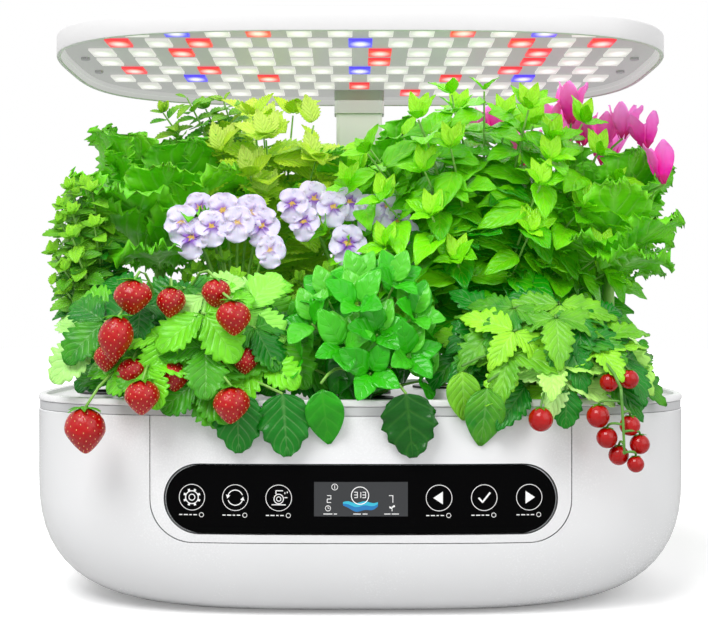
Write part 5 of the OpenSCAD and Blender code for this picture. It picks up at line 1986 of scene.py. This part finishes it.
class Garden:
    """The twelve plants in their pods, with the places of their flowers, sprigs and fruit."""

    mint_sprigs = ((-142, 46, 326), (-124, 40, 336), (-112, 52, 330), (-98, 44, 334))
    pansies_left = ((-117, -34, 240), (-106, -30, 250), (-97, -38, 237), (-90, -32, 248), (-80, -36, 240),
                    (-72, -30, 247), (-64, -34, 238), (-58, -40, 222), (-110, -36, 230))
    pansies_middle = ((-44, -36, 252), (-31, -30, 256), (-18, -34, 250), (-7, -30, 254), (6, -32, 248),
                      (17, -34, 250), (24, -38, 240), (-8, -40, 226), (30, -36, 230), (-36, -38, 240))
    cyclamens = ((86, 40, 300), (96, 30, 306), (146, 8, 312), (134, 14, 306), (158, 30, 300), (170, 20, 296),
                 (182, 10, 302), (197, 4, 294), (197, -46, 264), (120, 40, 286), (108, 50, 296),
                 (176, 44, 288), (150, 60, 300), (184, 62, 292), (124, 74, 292))

    def build(self) -> None:
        """Grows them all."""
        LeafyShoots("basil_front", "leaf_dark", 1, (2, -94, 158), (42, 30, 42), 11).grow(
            BIG_BASIL, BASIL_LEAF, shoots=20, gap=15, size=(1.0, 0.95), tone=(-0.3, 0.9), rise=(-1.3, -0.3),
            hanging=((BIG_BASIL, -23, 140, 0.9, 0.5), (LOBED, 26, 134, 0.92, -0.2)))
        LeafyShoots("basil_tall", "leaf_lime", 6, (78, -20, 246), (100, 44, 82), 12).grow(
            BASIL, LIME_LEAF, shoots=52, gap=16, size=(1.2, 0.95), tone=(-0.3, 0.9), rise=(-0.6, 0.4))
        LeafyShoots("lemon_balm", "leaf_lime", 9, (-62, 52, 276), (54, 40, 52), 13).grow(
            BALM, BALM_LEAF, shoots=22, gap=18, size=(1.1, 1.0), tone=(0.3, 0.9), sprigs=self.mint_sprigs)
        SaladHead("lettuce_left", "leaf_green", 8, (-144, 48, 0), (66, 60, 0), 21).grow(
            34, crown_z=212, size=1.05)
        SaladHead("lettuce_middle", "leaf_green", 10, (20, 52, 0), (64, 50, 0), 22).grow(
            34, crown_z=224, size=0.94)
        SaladHead("lettuce_right", "leaf_green", 7, (170, 0, 0), (56, 52, 0), 23).grow(
            28, crown_z=202, size=0.86)
        LeafyShoots("herb_left", "leaf_green", 3, (-188, -20, 214), (20, 28, 54), 24).grow(
            MINT, VINE_LEAF, shoots=30, gap=8, size=(0.95, 0.85), tone=(-0.3, 0.6))
        Flowering("pansy_left", "petal_violet", 4, (-88, -18, 190), (34, 30, 30), 31).grow(
            MINT, VINE_LEAF, self.pansies_left, PANSY, PANSY_PETAL, nodding=False, shoots=16)
        Flowering("pansy_middle", "petal_violet", 5, (-4, -18, 190), (40, 30, 30), 32).grow(
            MINT, VINE_LEAF, self.pansies_middle, PANSY, PANSY_PETAL, nodding=False, shoots=16)
        Flowering("cyclamen", "petal_pink", 11, (150, 56, 220), (46, 42, 44), 33).grow(
            BIG_BASIL, SALAD_LEAF, self.cyclamens, CYCLAMEN, CYCLAMEN_PETAL, nodding=True, shoots=12)
        self.berries()
        self.vine()

    def berries(self) -> None:
        """Grows the strawberry plant and its fruit."""
        plant = TrefoilPlant("strawberry_plant", "leaf_green", 0, (-102, -92, 158), (60, 38, 40), 41)
        growth = Growth("strawberry_foliage", 41)
        plant.leaves(growth, LEAFLET, 50, 0.9)
        low = Fruit.hang_y
        fruits = [(-157, low, 126, 23, 26), (-124, low, 142, 20, 20), (-73, low, 138, 21, 21),
                  (-139, low + 4, 178, 20, 26), (-131, low + 10, 199, 22, 20), (-110, low + 16, 195, 17, 18),
                  (-73, low + 4, 187, 20, 20), (-147, low + 16, 162, 15, 16), (-132, low + 14, 154, 17, 18),
                  (-108, low + 14, 152, 17, 18), (-88, low + 18, 158, 16, 17), (-67, low + 18, 160, 15, 16),
                  (-84, low + 18, 200, 17, 17)]
        for x, y, z, _, _ in fruits:
            start = plant.foot() + Vector((0, 0, 12))
            bend = Vector(((x + start.x) / 2, y + 26, max(z, 142) + 26))
            growth.stalk(round_path((start, bend, Vector((x, y, z)))), 0.9, 0.8)
        for x, top, size, tone in ((-71, 134, 0.85, -0.35), (-45, 134, 0.9, -0.3)):
            plant.hang(growth, LOBED, x, top, size, tone)
        growth.finish("leaf_green", "strawberry_plant", BERRY_LEAF, STEM_GREEN)
        Fruit().strawberries(fruits)

    def vine(self) -> None:
        """Grows the tomato vine and its fruit."""
        plant = TrefoilPlant("tomato_vine", "leaf_green", 2, (112, -90, 154), (50, 36, 34), 42)
        growth = Growth("tomato_foliage", 42)
        plant.leaves(growth, VINE, 60, 0.5)
        low = Fruit.hang_y
        fruits = [(102, low, 127, 7), (134.6, low, 128.4, 6.6), (152.6, low, 122.4, 5.9),
                  (139.6, low, 115.6, 6), (158.2, low, 111.6, 5.7), (146.9, low + 3, 105.2, 5.8),
                  (155.2, low - 3, 99.8, 4.8), (142.5, low + 8, 146, 5.4), (154, low + 8, 148, 5.6)]
        rail = Vector((146, low - 7, 138))
        start = plant.foot() + Vector((0, 0, 20))
        growth.stalk(round_path((start, Vector((140, -122, 168)), rail), 7), 1.1, 0.9)
        growth.stalk(round_path((rail, rail + Vector((1, -1, -18)), rail + Vector((2, 0, -37)))), 0.9, 0.7)
        for x, y, z, _ in fruits[1:7]:
            bend = Vector((x, y - 4, z + 4))
            growth.stalk(round_path((Vector((147, low - 7, z + 2)), bend, Vector((x, y, z - 0.3)))), 0.7, 0.7)
        for x, y, z, _ in (fruits[0], *fruits[7:]):
            bend = Vector(((x + start.x) / 2, y + 24, z + 24))
            growth.stalk(round_path((start, bend, Vector((x, y, z - 0.3)))), 0.9, 0.7)
        plant.hang(growth, BIG_BASIL, 73, 141, 0.95, 0.15)
        plant.hang(growth, BIG_BASIL, 58, 150, 0.8, 0.5)
        plant.hang(growth, LOBED, 118, 136, 0.55, -0.2)
        growth.finish("leaf_green", "tomato_vine", VINE_LEAF, STEM_DARK)
        Fruit().tomatoes(fruits)


# ------------------------------------------------------------------ kept nodes, studio and main


def dress_nodes() -> None:
    """Gives each CAD node that stays its finish."""
    finishes = {
        FILM_AMBER: ("touch_film",), SCREEN_GREY: ("lcd_module",), BOARD_GREEN: ("control_board",),
        RUBBER: ("feet", "pump_feet"), SPONGE: ("grow_sponges",), HOSE: ("pump_spout",),
        STEEL: ("base_screws", "lamp_screws", "fill_lid_pin", "pump_shaft"),
        BASKET_BLACK: ("pod_baskets", "pump_body", "pump_cover", "post_slider", "dc_jack"),
        POST_GREY: ("post_socket", "post_collar", "post_head"), POST_WHITE: ("post_outer", "post_inner"),
        PUMP_WHITE: ("pump_impeller",), FERRITE: ("pump_rotor",), RIM_GREY: ("float_guide",),
        FLOAT_ORANGE: ("level_float",), DECK_WHITE: ("fill_lid",), LED_PLATE_PAINTED_GLOW: ("led_board",),
    }
    for finish, nodes in finishes.items():
        for node in nodes:
            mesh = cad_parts[node].data
            mesh.materials.clear()
            mesh.materials.append(Palette.of(finish))
            log.info("%s: finish %s", node, finish.name)


@dataclass
class Studio:
    """The floor, the plain light and the camera."""

    camera_at: Place = (-0.004, -0.814, 0.177)
    lens: float = 60.46
    lamps: tuple[tuple[str, Place, float, float], ...] = (
        ("key", (-0.5, -0.9, 1.3), 0.8, 18.0), ("fill", (0.9, -0.9, 0.8), 1.2, 6.0),
        ("back", (0.2, 1.2, 1.2), 1.0, 6.0))
    aim: Place = (0, 0, 0.2)
    floor_half: float = 6.0
    floor_drop: float = 0.0002
    floor_dull: Colour = (0.62, 0.62, 0.62)
    floor_white: Colour = (0.9, 0.9, 0.9)
    glow_range: Span = (0.3, 0.9)
    glow_levels: Span = (0.24, 1.0)
    sky_levels: Span = (0.5, 1.0)

    def build(self) -> None:
        """Builds the studio."""
        scene = bpy.context.scene
        scene.view_settings.view_transform = "Standard"
        camera = bpy.data.objects.new("camera", bpy.data.cameras.new("camera"))
        camera.data.lens, camera.data.sensor_width, camera.data.sensor_fit = self.lens, 36.0, "HORIZONTAL"
        camera.data.clip_start = 0.01
        camera.location, camera.rotation_euler = self.camera_at, (math.pi / 2, 0, 0)
        scene.collection.objects.link(camera)
        scene.camera = camera
        self.floor()
        self.world(scene)
        for name, place, size, power in self.lamps:
            light = bpy.data.objects.new(name, bpy.data.lights.new(name, "AREA"))
            light.data.size, light.data.energy = size, power
            light.location = place
            light.rotation_euler = (Vector(self.aim) - Vector(place)).to_track_quat("-Z", "Y").to_euler()
            scene.collection.objects.link(light)

    def floor(self) -> None:
        """Builds the floor."""
        bm = bmesh.new()
        bmesh.ops.create_grid(bm, x_segments=1, y_segments=1, size=self.floor_half)
        mesh = bake(bm, "floor")
        mesh.materials.append(self.floor_paint())
        floor = bpy.data.objects.new("floor", mesh)
        floor.location.z = -self.floor_drop
        bpy.context.scene.collection.objects.link(floor)

    def floor_paint(self) -> bpy.types.Material:
        """Builds a pale paint that looks white to the camera and keeps the shadow of the object.

        Returns:
            The material.
        """
        material = bpy.data.materials.new("floor_white")
        material.use_nodes = True
        net = Net(material.node_tree)
        material.node_tree.nodes.remove(material.node_tree.nodes["Principled BSDF"])
        path = net.add("ShaderNodeLightPath")
        seen = path.outputs["Is Camera Ray"]
        matt = net.add("ShaderNodeBsdfDiffuse", Color=net.mix(seen, self.floor_dull, self.floor_white))
        away = net.add("ShaderNodeVectorMath", Vector=net.add("ShaderNodeTexCoord").outputs["Object"])
        away.operation = "LENGTH"
        level = net.remap(away.outputs["Value"], self.glow_range, self.glow_levels)
        glow = net.add("ShaderNodeEmission", Strength=net.math("MULTIPLY", seen, level))
        both = net.add("ShaderNodeAddShader")
        net.put(both.inputs[0], matt.outputs[0])
        net.put(both.inputs[1], glow.outputs[0])
        net.put(material.node_tree.nodes["Material Output"].inputs["Surface"], both.outputs[0])
        return material

    def world(self, scene: bpy.types.Scene) -> None:
        """Sets a world that looks white and lights the object at a plain level.

        Args:
            scene: the scene.
        """
        world = bpy.data.worlds.new("studio")
        world.use_nodes = True
        scene.world = world
        net = Net(world.node_tree)
        path = net.add("ShaderNodeLightPath")
        seen = net.math("MAXIMUM", path.outputs["Is Glossy Ray"], path.outputs["Is Transmission Ray"])
        seen = net.math("MAXIMUM", path.outputs["Is Camera Ray"], seen)
        back = world.node_tree.nodes["Background"]
        net.put(back.inputs["Strength"], net.remap(seen, end=self.sky_levels))
        back.inputs["Color"].default_value = (1, 1, 1, 1)


def main() -> None:
    """Builds the garden piece by piece."""
    logging.basicConfig(level=logging.INFO, format="%(message)s")
    Studio().build()
    dress_nodes()
    TankBase().build()
    TouchPanel().build()
    LampHead().build()
    Garden().build()


if __name__ == "__main__":
    main()
